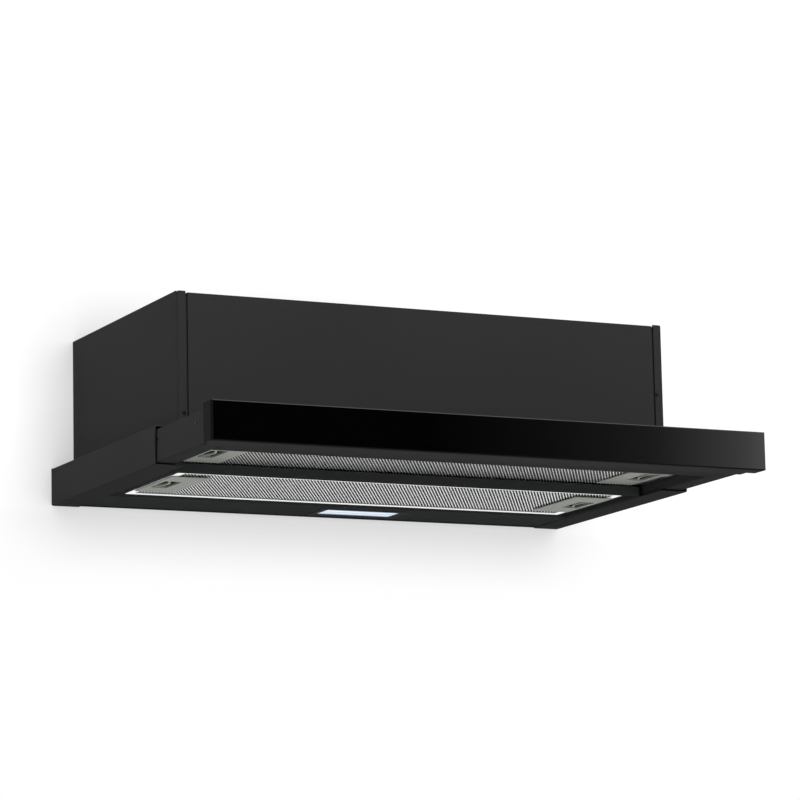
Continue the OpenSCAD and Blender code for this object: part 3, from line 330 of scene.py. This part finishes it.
glass = bpy.data.meshes.new("fascia_glass")
bm = bmesh.new()
bm.from_mesh(nodes["glass_fascia"].data)
bmesh.ops.remove_doubles(bm, verts=bm.verts, dist=1e-6)
for face in bm.faces:
    face.smooth = False
    face.material_index = 0 if face.normal.y < -0.9 or face.normal.z > 0.3 else 1
bm.to_mesh(glass)
bm.free()
glass.materials.append(fascia)
glass.materials.append(ground_edge)
glass_piece = bpy.data.objects.new("fascia_glass", glass)
bpy.context.scene.collection.objects.link(glass_piece)
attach(glass_piece, "drawer")
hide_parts("glass_fascia")


# ---------------------------------------------------------------- grease filters
# Each filter is a pack of expanded aluminium mesh in a folded frame.  Its
# face is bright sheet, punched with staggered round-ended slots.

PITCH = 0.0035
HOLE = (0.0017, 0.00125)
HOLE_TURN = math.radians(60)
HOLE_SQUARENESS = 0.57
SHEET_T = 0.0004
PLAIN_BORDER = 0.005
PLATE_LAP = 0.003


def punched_cell(pitch, long_r, short_r, turn):
    """Six-sided cell with a round-ended slot of twelve sides, flat on Z = 0."""
    mesh = bpy.data.meshes.new("punched_cell")
    bm = bmesh.new()
    corner_r = pitch / math.sqrt(3)
    corners = [
        bm.verts.new((corner_r * math.cos(math.radians(30 + 60 * i)),
                      corner_r * math.sin(math.radians(30 + 60 * i)), 0))
        for i in range(6)
    ]
    rim = []
    for i in range(12):
        c, s = math.cos(math.radians(30 * i) - turn), math.sin(math.radians(30 * i) - turn)
        along = long_r * math.copysign(abs(c) ** HOLE_SQUARENESS, c)
        across = short_r * math.copysign(abs(s) ** HOLE_SQUARENESS, s)
        rim.append(bm.verts.new((along * math.cos(turn) - across * math.sin(turn),
                                 along * math.sin(turn) + across * math.cos(turn), 0)))
    for i in range(6):
        a, b, c = (1 + 2 * i) % 12, (2 + 2 * i) % 12, (3 + 2 * i) % 12
        bm.faces.new((corners[i], corners[(i + 1) % 6], rim[c], rim[b], rim[a]))
    bm.to_mesh(mesh)
    bm.free()
    return bpy.data.objects.new("punched_cell", mesh)


def punched_sheet_tree():
    """Cells on a staggered grid, left out round the latch plates, made solid."""
    group = bpy.data.node_groups.new("punched_sheet", "GeometryNodeTree")
    face = group.interface
    face.new_socket("Geometry", in_out="OUTPUT", socket_type="NodeSocketGeometry")
    face.new_socket("Cell", in_out="INPUT", socket_type="NodeSocketObject")
    for label in ("Pitch", "Thickness", "Plate Middle X", "Plate Half X", "Plate Half Y"):
        face.new_socket(label, in_out="INPUT", socket_type="NodeSocketFloat")
    for label in ("Columns", "Rows", "First Column", "Last Column"):
        face.new_socket(label, in_out="INPUT", socket_type="NodeSocketInt")
    face.new_socket("Material", in_out="INPUT", socket_type="NodeSocketMaterial")
    face.new_socket("Hole Material", in_out="INPUT", socket_type="NodeSocketMaterial")
    new, link = group.nodes.new, group.links.new
    given, out = new("NodeGroupInput"), new("NodeGroupOutput")

    def calc(operation, a, b=0.0):
        node = new("ShaderNodeMath")
        node.operation = operation
        for socket, operand in zip(node.inputs, (a, b)):
            if isinstance(operand, (int, float)):
                socket.default_value = operand
            else:
                link(operand, socket)
        return node.outputs[0]

    # points by number: column and row from the index
    count = calc("MULTIPLY", given.outputs["Columns"], given.outputs["Rows"])
    points = new("GeometryNodePoints")
    link(count, points.inputs["Count"])
    index = new("GeometryNodeInputIndex")
    half_past = calc("ADD", index.outputs[0], 0.5)
    row = calc("FLOOR", calc("DIVIDE", half_past, given.outputs["Columns"]))
    column = calc("SUBTRACT", index.outputs[0], calc("MULTIPLY", row, given.outputs["Columns"]))
    odd = calc("MODULO", row, 2.0)
    mid_column = calc("DIVIDE", given.outputs["Columns"], 2.0)
    mid_row = calc("DIVIDE", calc("SUBTRACT", given.outputs["Rows"], 1.0), 2.0)
    stagger = calc("ADD", calc("SUBTRACT", column, mid_column), calc("MULTIPLY", odd, 0.5))
    x = calc("MULTIPLY", stagger, given.outputs["Pitch"])
    up = calc("MULTIPLY", calc("SUBTRACT", row, mid_row), math.sqrt(3) / 2)
    y = calc("MULTIPLY", up, given.outputs["Pitch"])
    spot = new("ShaderNodeCombineXYZ")
    link(x, spot.inputs[0])
    link(y, spot.inputs[1])
    link(spot.outputs[0], points.inputs["Position"])

    # leave out the cells of the other piece and those over the latch plates
    off_x = calc("SUBTRACT", calc("ABSOLUTE", x), given.outputs["Plate Middle X"])
    off_x = calc("ABSOLUTE", off_x)
    in_plate = calc("MULTIPLY", calc("LESS_THAN", off_x, given.outputs["Plate Half X"]),
                    calc("LESS_THAN", calc("ABSOLUTE", y), given.outputs["Plate Half Y"]))
    before = calc("LESS_THAN", column, given.outputs["First Column"])
    after = calc("GREATER_THAN", column, given.outputs["Last Column"])
    drop = calc("ADD", calc("ADD", in_plate, before), after)
    delete = new("GeometryNodeDeleteGeometry")
    delete.domain = "POINT"
    link(points.outputs[0], delete.inputs["Geometry"])
    link(calc("GREATER_THAN", drop, 0.5), delete.inputs["Selection"])

    cell = new("GeometryNodeObjectInfo")
    link(given.outputs["Cell"], cell.inputs["Object"])
    place = new("GeometryNodeInstanceOnPoints")
    link(delete.outputs[0], place.inputs["Points"])
    link(cell.outputs["Geometry"], place.inputs["Instance"])
    real = new("GeometryNodeRealizeInstances")
    link(place.outputs[0], real.inputs[0])
    merge = new("GeometryNodeMergeByDistance")
    merge.inputs["Distance"].default_value = 1e-5
    link(real.outputs[0], merge.inputs["Geometry"])

    # thickness: the sheet raised by an extrusion, and its own underside
    raised = new("GeometryNodeExtrudeMesh")
    raised.mode = "FACES"
    raised.inputs["Individual"].default_value = False
    lift = new("ShaderNodeCombineXYZ")
    lift.inputs[2].default_value = 1.0
    link(merge.outputs[0], raised.inputs["Mesh"])
    link(lift.outputs[0], raised.inputs["Offset"])
    link(given.outputs["Thickness"], raised.inputs["Offset Scale"])
    under = new("GeometryNodeFlipFaces")
    link(merge.outputs[0], under.inputs["Mesh"])
    both = new("GeometryNodeJoinGeometry")
    link(under.outputs[0], both.inputs[0])
    link(raised.outputs["Mesh"], both.inputs[0])
    closed = new("GeometryNodeMergeByDistance")
    closed.inputs["Distance"].default_value = 1e-5
    link(both.outputs[0], closed.inputs["Geometry"])
    paint = new("GeometryNodeSetMaterial")
    link(closed.outputs[0], paint.inputs["Geometry"])
    link(given.outputs["Material"], paint.inputs["Material"])
    # the hole walls get the hole material, painted dark as shade inside the holes
    walls = new("GeometryNodeSetMaterial")
    link(paint.outputs[0], walls.inputs["Geometry"])
    link(raised.outputs["Side"], walls.inputs["Selection"])
    link(given.outputs["Hole Material"], walls.inputs["Material"])
    link(walls.outputs[0], out.inputs[0])
    return group


def grown(name, tree, spots=(), **values):
    """Runs a geometry tree on points (place, direction) and gives its result as a plain mesh."""
    base = bpy.data.meshes.new(name)
    base.from_pydata([place for place, _ in spots], [], [])
    if spots:
        axis = base.attributes.new("axis", "FLOAT_VECTOR", "POINT")
        axis.data.foreach_set("vector", [v for _, direction in spots for v in direction])
    carrier = bpy.data.objects.new(name, base)
    bpy.context.scene.collection.objects.link(carrier)
    modifier = carrier.modifiers.new("grow", "NODES")
    modifier.node_group = tree
    sockets = {s.name: s.identifier for s in tree.interface.items_tree if s.in_out == "INPUT"}
    for label, value in values.items():
        modifier[sockets[label.replace("_", " ").title()]] = value
    carrier.update_tag()
    bpy.context.view_layer.update()
    mesh = bpy.data.meshes.new_from_object(
        carrier.evaluated_get(bpy.context.evaluated_depsgraph_get())
    )
    carrier.modifiers.remove(modifier)
    carrier.data = mesh
    mesh.name = name
    return carrier


PUNCHED_SHEET = punched_sheet_tree()
bright_sheet = {
    "rear": metal("punched_aluminium", (0.93, 0.935, 0.94), 0.27, (1, 0.3, 1), 300, 0.05, 0.0, 0.75),
    "front": metal("matt_punched_aluminium", (0.95, 0.955, 0.96), 0.4, (1, 0.3, 1), 300, 0.05, 0.0, 0.3),
}
edge_sheet = metal("frame_aluminium", (0.8, 0.805, 0.81), 0.3, (0.2, 1, 1), 200, 0.08, 0.0003)
# the core's aluminium mesh is painted near black: painted shade seen through the holes
painted_shade_core = metal("painted_shade_mesh_aluminium", (0.05, 0.05, 0.052), 0.6, (1, 1, 1), 600, 0.5, 0.0)
# the punched hole walls are painted near black: painted shade inside the holes
painted_shade_hole_walls = coated("painted_shade_hole_wall", (0.008, 0.008, 0.0085), 0.8, 0.02, 0.0)
cell = punched_cell(PITCH, *HOLE, HOLE_TURN)
bpy.context.scene.collection.objects.link(cell)

for place_name, body in (("rear", "hood"), ("front", "drawer")):
    low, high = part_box(place_name + "_filter_face")
    plate_low, plate_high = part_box(place_name + "_latch_plate_right")
    middle = (low + high) / 2
    columns = int((high.x - low.x - 2 * PLAIN_BORDER) / PITCH)
    rows = int((high.y - low.y - 2 * PLAIN_BORDER) / (PITCH * math.sqrt(3) / 2))
    third = columns // 3
    spans = (("left", 0, third - 1), ("middle", third, 2 * third - 1), ("right", 2 * third, columns))
    for part, first, last in spans:
        piece = grown(
            f"{place_name}_punched_face_{part}", PUNCHED_SHEET,
            cell=cell, pitch=PITCH, thickness=SHEET_T,
            plate_middle_x=(plate_low.x + plate_high.x) / 2,
            plate_half_x=(plate_high.x - plate_low.x) / 2 - PLATE_LAP,
            plate_half_y=(plate_high.y - plate_low.y) / 2 - PLATE_LAP,
            columns=columns, rows=rows, first_column=first, last_column=last,
            material=bright_sheet[place_name], hole_material=painted_shade_hole_walls,
        )
        piece.data.transform(Matrix.Translation((middle.x, middle.y, low.z)))
        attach(piece, body)
        if part == "left":
            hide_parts(place_name + "_filter_face")
    dress(edge_sheet, place_name + "_filter_frame")
    dress(painted_shade_core, place_name + "_filter_core")
bpy.data.objects.remove(cell)


# ---------------------------------------------------------------- latches
# Each filter has a moulded plate at both ends, with a finger well and a
# sliding latch whose bolt rests on a ledge of the tray or the drawer.

RECESS_START, RECESS_FADE = 0.0004, 0.0012


def latch_plastic(name, colour, recess_shade, face_z):
    """Moulded plastic whose recesses above face_z are painted darker as painted shade, and whose outer
    edges get a painted highlight.
    """
    material = moulded(name, colour, 0.5, 0.15, edge=[c * 1.7 for c in colour])
    tree, links = material.node_tree.nodes, material.node_tree.links
    shader = tree["Principled BSDF"]
    body = shader.inputs["Base Color"].links[0].from_socket
    place = tree.new("ShaderNodeTexCoord")
    parts = tree.new("ShaderNodeSeparateXYZ")
    links.new(place.outputs["Object"], parts.inputs[0])
    # painted shade: darker the deeper the surface lies in a recess above face_z
    recess_shade_fac = maths(
        tree, links, "MULTIPLY_ADD", parts.outputs["Z"],
        1 / RECESS_FADE, -(face_z + RECESS_START) / RECESS_FADE, clamp=True,
    )
    mix = tree.new("ShaderNodeMix")
    mix.data_type = "RGBA"
    mix.inputs["B"].default_value = (*recess_shade, 1)
    links.new(recess_shade_fac, mix.inputs["Factor"])
    links.new(body, mix.inputs["A"])
    links.new(mix.outputs["Result"], shader.inputs["Base Color"])
    return material


for row_name in ("rear", "front"):
    face_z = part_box(row_name + "_filter_frame")[0].z
    plate_plastic = latch_plastic(
        row_name + "_latch_plate", (0.31, 0.33, 0.286), (0.035, 0.032, 0.02), face_z
    )
    # the slide is painted lighter than the plate: a painted highlight for its lit tab
    slide_plastic = latch_plastic(
        row_name + "_latch_slide", (0.42, 0.44, 0.38), (0.06, 0.055, 0.035), face_z
    )
    for side in ("left", "right"):
        dress(plate_plastic, f"{row_name}_latch_plate_{side}")
        dress(slide_plastic, f"{row_name}_latch_slide_{side}")


# ---------------------------------------------------------------- controls
# Five push keys on the drawer's deck, and a start switch behind the drawer
# that the drawer presses when it is shut.

dress(moulded("key_plastic", (0.04, 0.04, 0.043), 0.4), *[f"button_{i}" for i in range(1, 6)])
dress(moulded("plunger_plastic", (0.45, 0.06, 0.04), 0.35), "start_plunger")


# ---------------------------------------------------------------- screws
# Blackened pan-head screws hold the flanges, the collar and the panel.

HEAD_R, HEAD_H = 0.0024, 0.0014
SHANK_R, SHANK = 0.0011, 0.003
ARM_HALF_W, ARM_L = 0.00032, 0.0013


def pan_screw():
    """Pan-head screw with a cross recess; its head rises along +Z from Z = 0."""
    profile = [(SHANK_R, -SHANK), (SHANK_R, 0), (HEAD_R, 0), (HEAD_R, HEAD_H * 0.5),
               (HEAD_R * 0.88, HEAD_H * 0.82), (HEAD_R * 0.6, HEAD_H)]
    sides = 20
    bm = bmesh.new()
    rings = [[bm.verts.new((r * math.cos(math.tau * i / sides), r * math.sin(math.tau * i / sides), z))
              for i in range(sides)] for r, z in profile]
    for low, high in zip(rings, rings[1:]):
        for i in range(sides):
            bm.faces.new((low[i], low[(i + 1) % sides], high[(i + 1) % sides], high[i]))
    bm.faces.new(rings[0])
    bm.faces.new(rings[-1])
    bmesh.ops.recalc_face_normals(bm, faces=bm.faces)
    body_mesh = bpy.data.meshes.new("pan_screw")
    bm.to_mesh(body_mesh)
    bm.free()
    wide, long = ARM_HALF_W, ARM_L
    outline = [(long, -wide), (long, wide), (wide, wide), (wide, long), (-wide, long), (-wide, wide),
               (-long, wide), (-long, -wide), (-wide, -wide), (-wide, -long), (wide, -long), (wide, -wide)]
    bm = bmesh.new()
    bottom = [bm.verts.new((x * 0.5, y * 0.5, HEAD_H * 0.25)) for x, y in outline]
    top = [bm.verts.new((x * 1.1, y * 1.1, HEAD_H * 1.3)) for x, y in outline]
    for i in range(12):
        bm.faces.new((bottom[i], bottom[(i + 1) % 12], top[(i + 1) % 12], top[i]))
    bm.faces.new(bottom)
    bm.faces.new(top)
    bmesh.ops.recalc_face_normals(bm, faces=bm.faces)
    cross_mesh = bpy.data.meshes.new("cross_recess")
    bm.to_mesh(cross_mesh)
    bm.free()
    screw = bpy.data.objects.new("pan_screw", body_mesh)
    cross = bpy.data.objects.new("cross_recess", cross_mesh)
    for made in (screw, cross):
        bpy.context.scene.collection.objects.link(made)
    cut = screw.modifiers.new("recess", "BOOLEAN")
    cut.operation = "DIFFERENCE"
    cut.solver = "EXACT"
    cut.object = cross
    bpy.context.view_layer.update()
    finished = bpy.data.meshes.new_from_object(
        screw.evaluated_get(bpy.context.evaluated_depsgraph_get())
    )
    screw.modifiers.clear()
    screw.data = finished
    bpy.data.objects.remove(cross)
    return screw


def screw_tree():
    """A screw on every point, along its axis, each turned by its own amount."""
    group = bpy.data.node_groups.new("screws_on_points", "GeometryNodeTree")
    face = group.interface
    face.new_socket("Geometry", in_out="OUTPUT", socket_type="NodeSocketGeometry")
    face.new_socket("Geometry", in_out="INPUT", socket_type="NodeSocketGeometry")
    face.new_socket("Screw", in_out="INPUT", socket_type="NodeSocketObject")
    face.new_socket("Seed", in_out="INPUT", socket_type="NodeSocketInt")
    face.new_socket("Material", in_out="INPUT", socket_type="NodeSocketMaterial")
    new, link = group.nodes.new, group.links.new
    given, out = new("NodeGroupInput"), new("NodeGroupOutput")
    axis = new("GeometryNodeInputNamedAttribute")
    axis.data_type = "FLOAT_VECTOR"
    axis.inputs["Name"].default_value = "axis"
    upright = new("FunctionNodeAlignRotationToVector")
    upright.axis = "Z"
    link(axis.outputs["Attribute"], upright.inputs["Vector"])
    angle = new("FunctionNodeRandomValue")
    angle.data_type = "FLOAT"
    angle.inputs["Max"].default_value = math.pi / 2
    for socket in angle.inputs:
        if socket.name == "Max" and socket.type == "VALUE":
            socket.default_value = math.pi / 2
        if socket.name == "Seed":
            link(given.outputs["Seed"], socket)
    spin = new("FunctionNodeAxisAngleToRotation")
    spin.inputs["Axis"].default_value = (0, 0, 1)
    turned = next(o for o in angle.outputs if o.type == "VALUE")
    link(turned, spin.inputs["Angle"])
    turn = new("FunctionNodeRotateRotation")
    turn.rotation_space = "LOCAL"
    link(upright.outputs["Rotation"], turn.inputs["Rotation"])
    link(spin.outputs["Rotation"], turn.inputs["Rotate By"])
    source = new("GeometryNodeObjectInfo")
    link(given.outputs["Screw"], source.inputs["Object"])
    place = new("GeometryNodeInstanceOnPoints")
    link(given.outputs["Geometry"], place.inputs["Points"])
    link(source.outputs["Geometry"], place.inputs["Instance"])
    link(turn.outputs["Rotation"], place.inputs["Rotation"])
    real = new("GeometryNodeRealizeInstances")
    link(place.outputs[0], real.inputs[0])
    paint = new("GeometryNodeSetMaterial")
    link(real.outputs[0], paint.inputs["Geometry"])
    link(given.outputs["Material"], paint.inputs["Material"])
    link(paint.outputs[0], out.inputs[0])
    return group


def screw_places(name):
    """Where each solid screw of a node has its head, and which way the head points."""
    bm = bmesh.new()
    bm.from_mesh(nodes[name].data)
    bmesh.ops.remove_doubles(bm, verts=bm.verts, dist=1e-6)
    left = set(bm.verts)
    places = []
    while left:
        wave = [left.pop()]
        island = []
        while wave:
            vert = wave.pop()
            island.append(vert.co.copy())
            for edge in vert.link_edges:
                other = edge.other_vert(vert)
                if other in left:
                    left.remove(other)
                    wave.append(other)
        low = Vector(min(v[i] for v in island) for i in range(3))
        high = Vector(max(v[i] for v in island) for i in range(3))
        along = max(range(3), key=lambda i: abs(high[i] - low[i] - 2 * HEAD_R))
        middle = (low + high) / 2
        above = sum(v[along] > middle[along] for v in island) > len(island) / 2
        direction = Vector((0, 0, 0))
        direction[along] = 1 if above else -1
        middle[along] = (high[along] - HEAD_H) if above else (low[along] + HEAD_H)
        places.append((middle, direction))
    bm.free()
    return sorted(places, key=lambda spot: tuple(spot[0]))


SCREW_TREE = screw_tree()
black_steel = metal("black_screw", (0.045, 0.045, 0.047), 0.4, (1, 1, 1), 900, 0.1, 0.0001)
screw = pan_screw()
for place_name, body in (("casing_screws", "hood"), ("drawer_screws", "drawer")):
    piece = grown("cross_head_" + place_name, SCREW_TREE, spots=screw_places(place_name),
                  screw=screw, seed=4, material=black_steel)
    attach(piece, body)
    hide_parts(place_name)
bpy.data.objects.remove(screw)


# ---------------------------------------------------------------- wall, floor and light
# The hood hangs on a pale wall over a pale floor, in soft studio light.
# Seen from behind, wall and floor let the view through, and light from
# behind reaches the hood's back.

PALE = 0.92
SHADE_REACH = 0.075
NEAR = 0.012
SHADE_DEPTH = 0.67
OPEN_WALL = 1.03


def pale_sheet(name, corners, shade):
    """A pale stage sheet, clear from behind, whose seen glow is darkened close to the hood as a painted
    shadow.
    """
    mesh = bpy.data.meshes.new(name)
    mesh.from_pydata(corners, [], [(0, 1, 2, 3)])
    sheet = bpy.data.objects.new(name, mesh)
    bpy.context.scene.collection.objects.link(sheet)
    material = bpy.data.materials.new(name)
    material.use_nodes = True
    tree, links = material.node_tree.nodes, material.node_tree.links
    tree.clear()
    out = tree.new("ShaderNodeOutputMaterial")
    mix = tree.new("ShaderNodeMixShader")
    pale = tree.new("ShaderNodeMixShader")
    diffuse = tree.new("ShaderNodeBsdfDiffuse")
    white = tree.new("ShaderNodeEmission")
    clear = tree.new("ShaderNodeBsdfTransparent")
    surface = tree.new("ShaderNodeNewGeometry")
    ray = tree.new("ShaderNodeLightPath")
    diffuse.inputs["Color"].default_value = (shade, shade, shade, 1)
    seen = maths(tree, links, "MAXIMUM", ray.outputs["Is Camera Ray"], ray.outputs["Is Glossy Ray"])
    seen = maths(tree, links, "MAXIMUM", seen, ray.outputs["Is Transmission Ray"])
    links.new(maths(tree, links, "MULTIPLY", seen, PALE), pale.inputs["Fac"])
    # painted shadow: the seen white glow is dimmed by ambient occlusion near the hood
    painted_shadow_ao = tree.new("ShaderNodeAmbientOcclusion")
    painted_shadow_ao.samples = 12
    painted_shadow_ao.inputs["Distance"].default_value = SHADE_REACH
    glow = maths(
        tree, links, "MULTIPLY_ADD", painted_shadow_ao.outputs["AO"], SHADE_DEPTH, OPEN_WALL - SHADE_DEPTH
    )
    links.new(glow, white.inputs["Strength"])
    links.new(diffuse.outputs[0], pale.inputs[1])
    links.new(white.outputs[0], pale.inputs[2])
    near = maths(tree, links, "LESS_THAN", ray.outputs["Ray Length"], NEAR)
    near = maths(tree, links, "SUBTRACT", near, ray.outputs["Is Camera Ray"], clamp=True)
    links.new(maths(tree, links, "MAXIMUM", surface.outputs["Backfacing"], near), mix.inputs["Fac"])
    links.new(pale.outputs[0], mix.inputs[1])
    links.new(clear.outputs[0], mix.inputs[2])
    links.new(mix.outputs[0], out.inputs["Surface"])
    mesh.materials.append(material)


WALL_Y = 0.001
FLOOR_Z = -1.55
ROOM_X, ROOM_Y, ROOM_Z = 6, -8, 4
wall_corners = [(-ROOM_X, WALL_Y, FLOOR_Z), (ROOM_X, WALL_Y, FLOOR_Z),
                (ROOM_X, WALL_Y, ROOM_Z), (-ROOM_X, WALL_Y, ROOM_Z)]
floor_corners = [(-ROOM_X, ROOM_Y, FLOOR_Z), (ROOM_X, ROOM_Y, FLOOR_Z),
                 (ROOM_X, WALL_Y, FLOOR_Z), (-ROOM_X, WALL_Y, FLOOR_Z)]
pale_sheet("wall", wall_corners, 0.97)
pale_sheet("floor", floor_corners, 0.9)

world = bpy.data.worlds.new("studio")
bpy.context.scene.world = world
world.use_nodes = True
tree, links = world.node_tree.nodes, world.node_tree.links
tree.clear()
out = tree.new("ShaderNodeOutputWorld")
background = tree.new("ShaderNodeBackground")
ray = tree.new("ShaderNodeLightPath")
seen = maths(tree, links, "MAXIMUM", ray.outputs["Is Camera Ray"], ray.outputs["Is Glossy Ray"])
seen = maths(tree, links, "MAXIMUM", seen, ray.outputs["Is Transmission Ray"])
AMBIENT = 0.7
strength = maths(tree, links, "MULTIPLY_ADD", seen, 1 - AMBIENT, AMBIENT)
links.new(strength, background.inputs["Strength"])
background.inputs["Color"].default_value = (1, 1, 1, 1)
links.new(background.outputs[0], out.inputs["Surface"])


sun_data = bpy.data.lights.new("key", "SUN")
sun_data.angle = math.radians(14)
sun_data.energy = 1.75
key = bpy.data.objects.new("key", sun_data)
bpy.context.scene.collection.objects.link(key)
key.rotation_mode = "QUATERNION"
key.rotation_quaternion = Vector((-0.12, 1, -0.1)).to_track_quat("-Z", "Y")
key.visible_glossy = False

# a scrim that fades from black to white, which only the glass mirrors
CARD_Y = -3.44
FADE_X, FADE_W = 1.4, 0.8
card_mesh = bpy.data.meshes.new("graded_card")
card_mesh.from_pydata(
    [(2.9, CARD_Y, -0.9), (-1.5, CARD_Y, -0.9), (-1.5, CARD_Y, 1.3), (2.9, CARD_Y, 1.3)], [], [(0, 1, 2, 3)]
)
card = bpy.data.objects.new("graded_card", card_mesh)
bpy.context.scene.collection.objects.link(card)
material = bpy.data.materials.new("graded_card")
material.use_nodes = True
tree, links = material.node_tree.nodes, material.node_tree.links
tree.clear()
out = tree.new("ShaderNodeOutputMaterial")
emit = tree.new("ShaderNodeEmission")
place = tree.new("ShaderNodeTexCoord")
parts = tree.new("ShaderNodeSeparateXYZ")
links.new(place.outputs["Object"], parts.inputs[0])
across = maths(tree, links, "MULTIPLY_ADD", parts.outputs["X"], 1 / FADE_W, -FADE_X / FADE_W, clamp=True)
fade = tree.new("ShaderNodeValToRGB")
links.new(across, fade.inputs["Fac"])
steps = ((FADE_X, 0.0), (1.617, 0.04), (1.768, 0.09), (1.868, 0.14), (1.918, 0.23), (1.968, 0.33),
         (2.018, 0.44), (2.068, 0.6), (2.106, 0.85), (2.2, 1.0))
while len(fade.color_ramp.elements) < len(steps):
    fade.color_ramp.elements.new(0.5)
for element, (x, value) in zip(fade.color_ramp.elements, steps):
    element.position = (x - FADE_X) / FADE_W
    element.color = (value, value, value, 1)
level = maths(tree, links, "MULTIPLY", fade.outputs["Color"], 1.6)
links.new(level, emit.inputs["Strength"])
links.new(emit.outputs[0], out.inputs["Surface"])
card_mesh.materials.append(material)
card.visible_camera = card.visible_diffuse = card.visible_shadow = False
card.visible_transmission = card.visible_volume_scatter = False

# a strip on the wall, just below the hood, bright to the metal that mirrors
# it and dim to the coated undersides
STRIP_Y = -0.004
STRIP, BELOW = 1.25, 0.12
STRIP_X, STRIP_LOW, STRIP_TOP = 1.2, -1.5, -0.112
strip_mesh = bpy.data.meshes.new("low_strip")
strip_mesh.from_pydata(
    [(-STRIP_X, STRIP_Y, STRIP_LOW), (STRIP_X, STRIP_Y, STRIP_LOW),
     (STRIP_X, STRIP_Y, STRIP_TOP), (-STRIP_X, STRIP_Y, STRIP_TOP)],
    [], [(0, 1, 2, 3)]
)
strip = bpy.data.objects.new("low_strip", strip_mesh)
bpy.context.scene.collection.objects.link(strip)
material = bpy.data.materials.new("low_strip")
material.use_nodes = True
tree, links = material.node_tree.nodes, material.node_tree.links
tree.clear()
out = tree.new("ShaderNodeOutputMaterial")
emit = tree.new("ShaderNodeEmission")
ray = tree.new("ShaderNodeLightPath")
level = maths(tree, links, "MULTIPLY_ADD", ray.outputs["Is Glossy Ray"], STRIP - BELOW, BELOW)
links.new(level, emit.inputs["Strength"])
links.new(emit.outputs[0], out.inputs["Surface"])
strip_mesh.materials.append(material)
strip.visible_camera = strip.visible_shadow = False
strip.visible_transmission = strip.visible_volume_scatter = False


# ---------------------------------------------------------------- camera
# Long lens from the left and below, as in the photograph.

YAW, PITCH_UP, ROLL = (math.radians(a) for a in (25.666, 9.901, -1.202))
forward = Vector(
    (math.sin(YAW) * math.cos(PITCH_UP), math.cos(YAW) * math.cos(PITCH_UP), math.sin(PITCH_UP))
)
right = Vector((math.cos(YAW), -math.sin(YAW), 0))
down = -right.cross(forward)
turned_right = right * math.cos(ROLL) - down * math.sin(ROLL)
turned_down = right * math.sin(ROLL) + down * math.cos(ROLL)
data = bpy.data.cameras.new("camera")
data.sensor_width = 36
data.lens = 173.52
data.clip_end = 50
camera = bpy.data.objects.new("camera", data)
bpy.context.scene.collection.objects.link(camera)
axes = Matrix((turned_right, -turned_down, -forward)).transposed()
camera.matrix_world = Matrix.Translation((-1.6764, -3.7099, -0.6896)) @ axes.to_4x4()
bpy.context.scene.camera = camera

bpy.context.scene.view_settings.view_transform = "Standard"
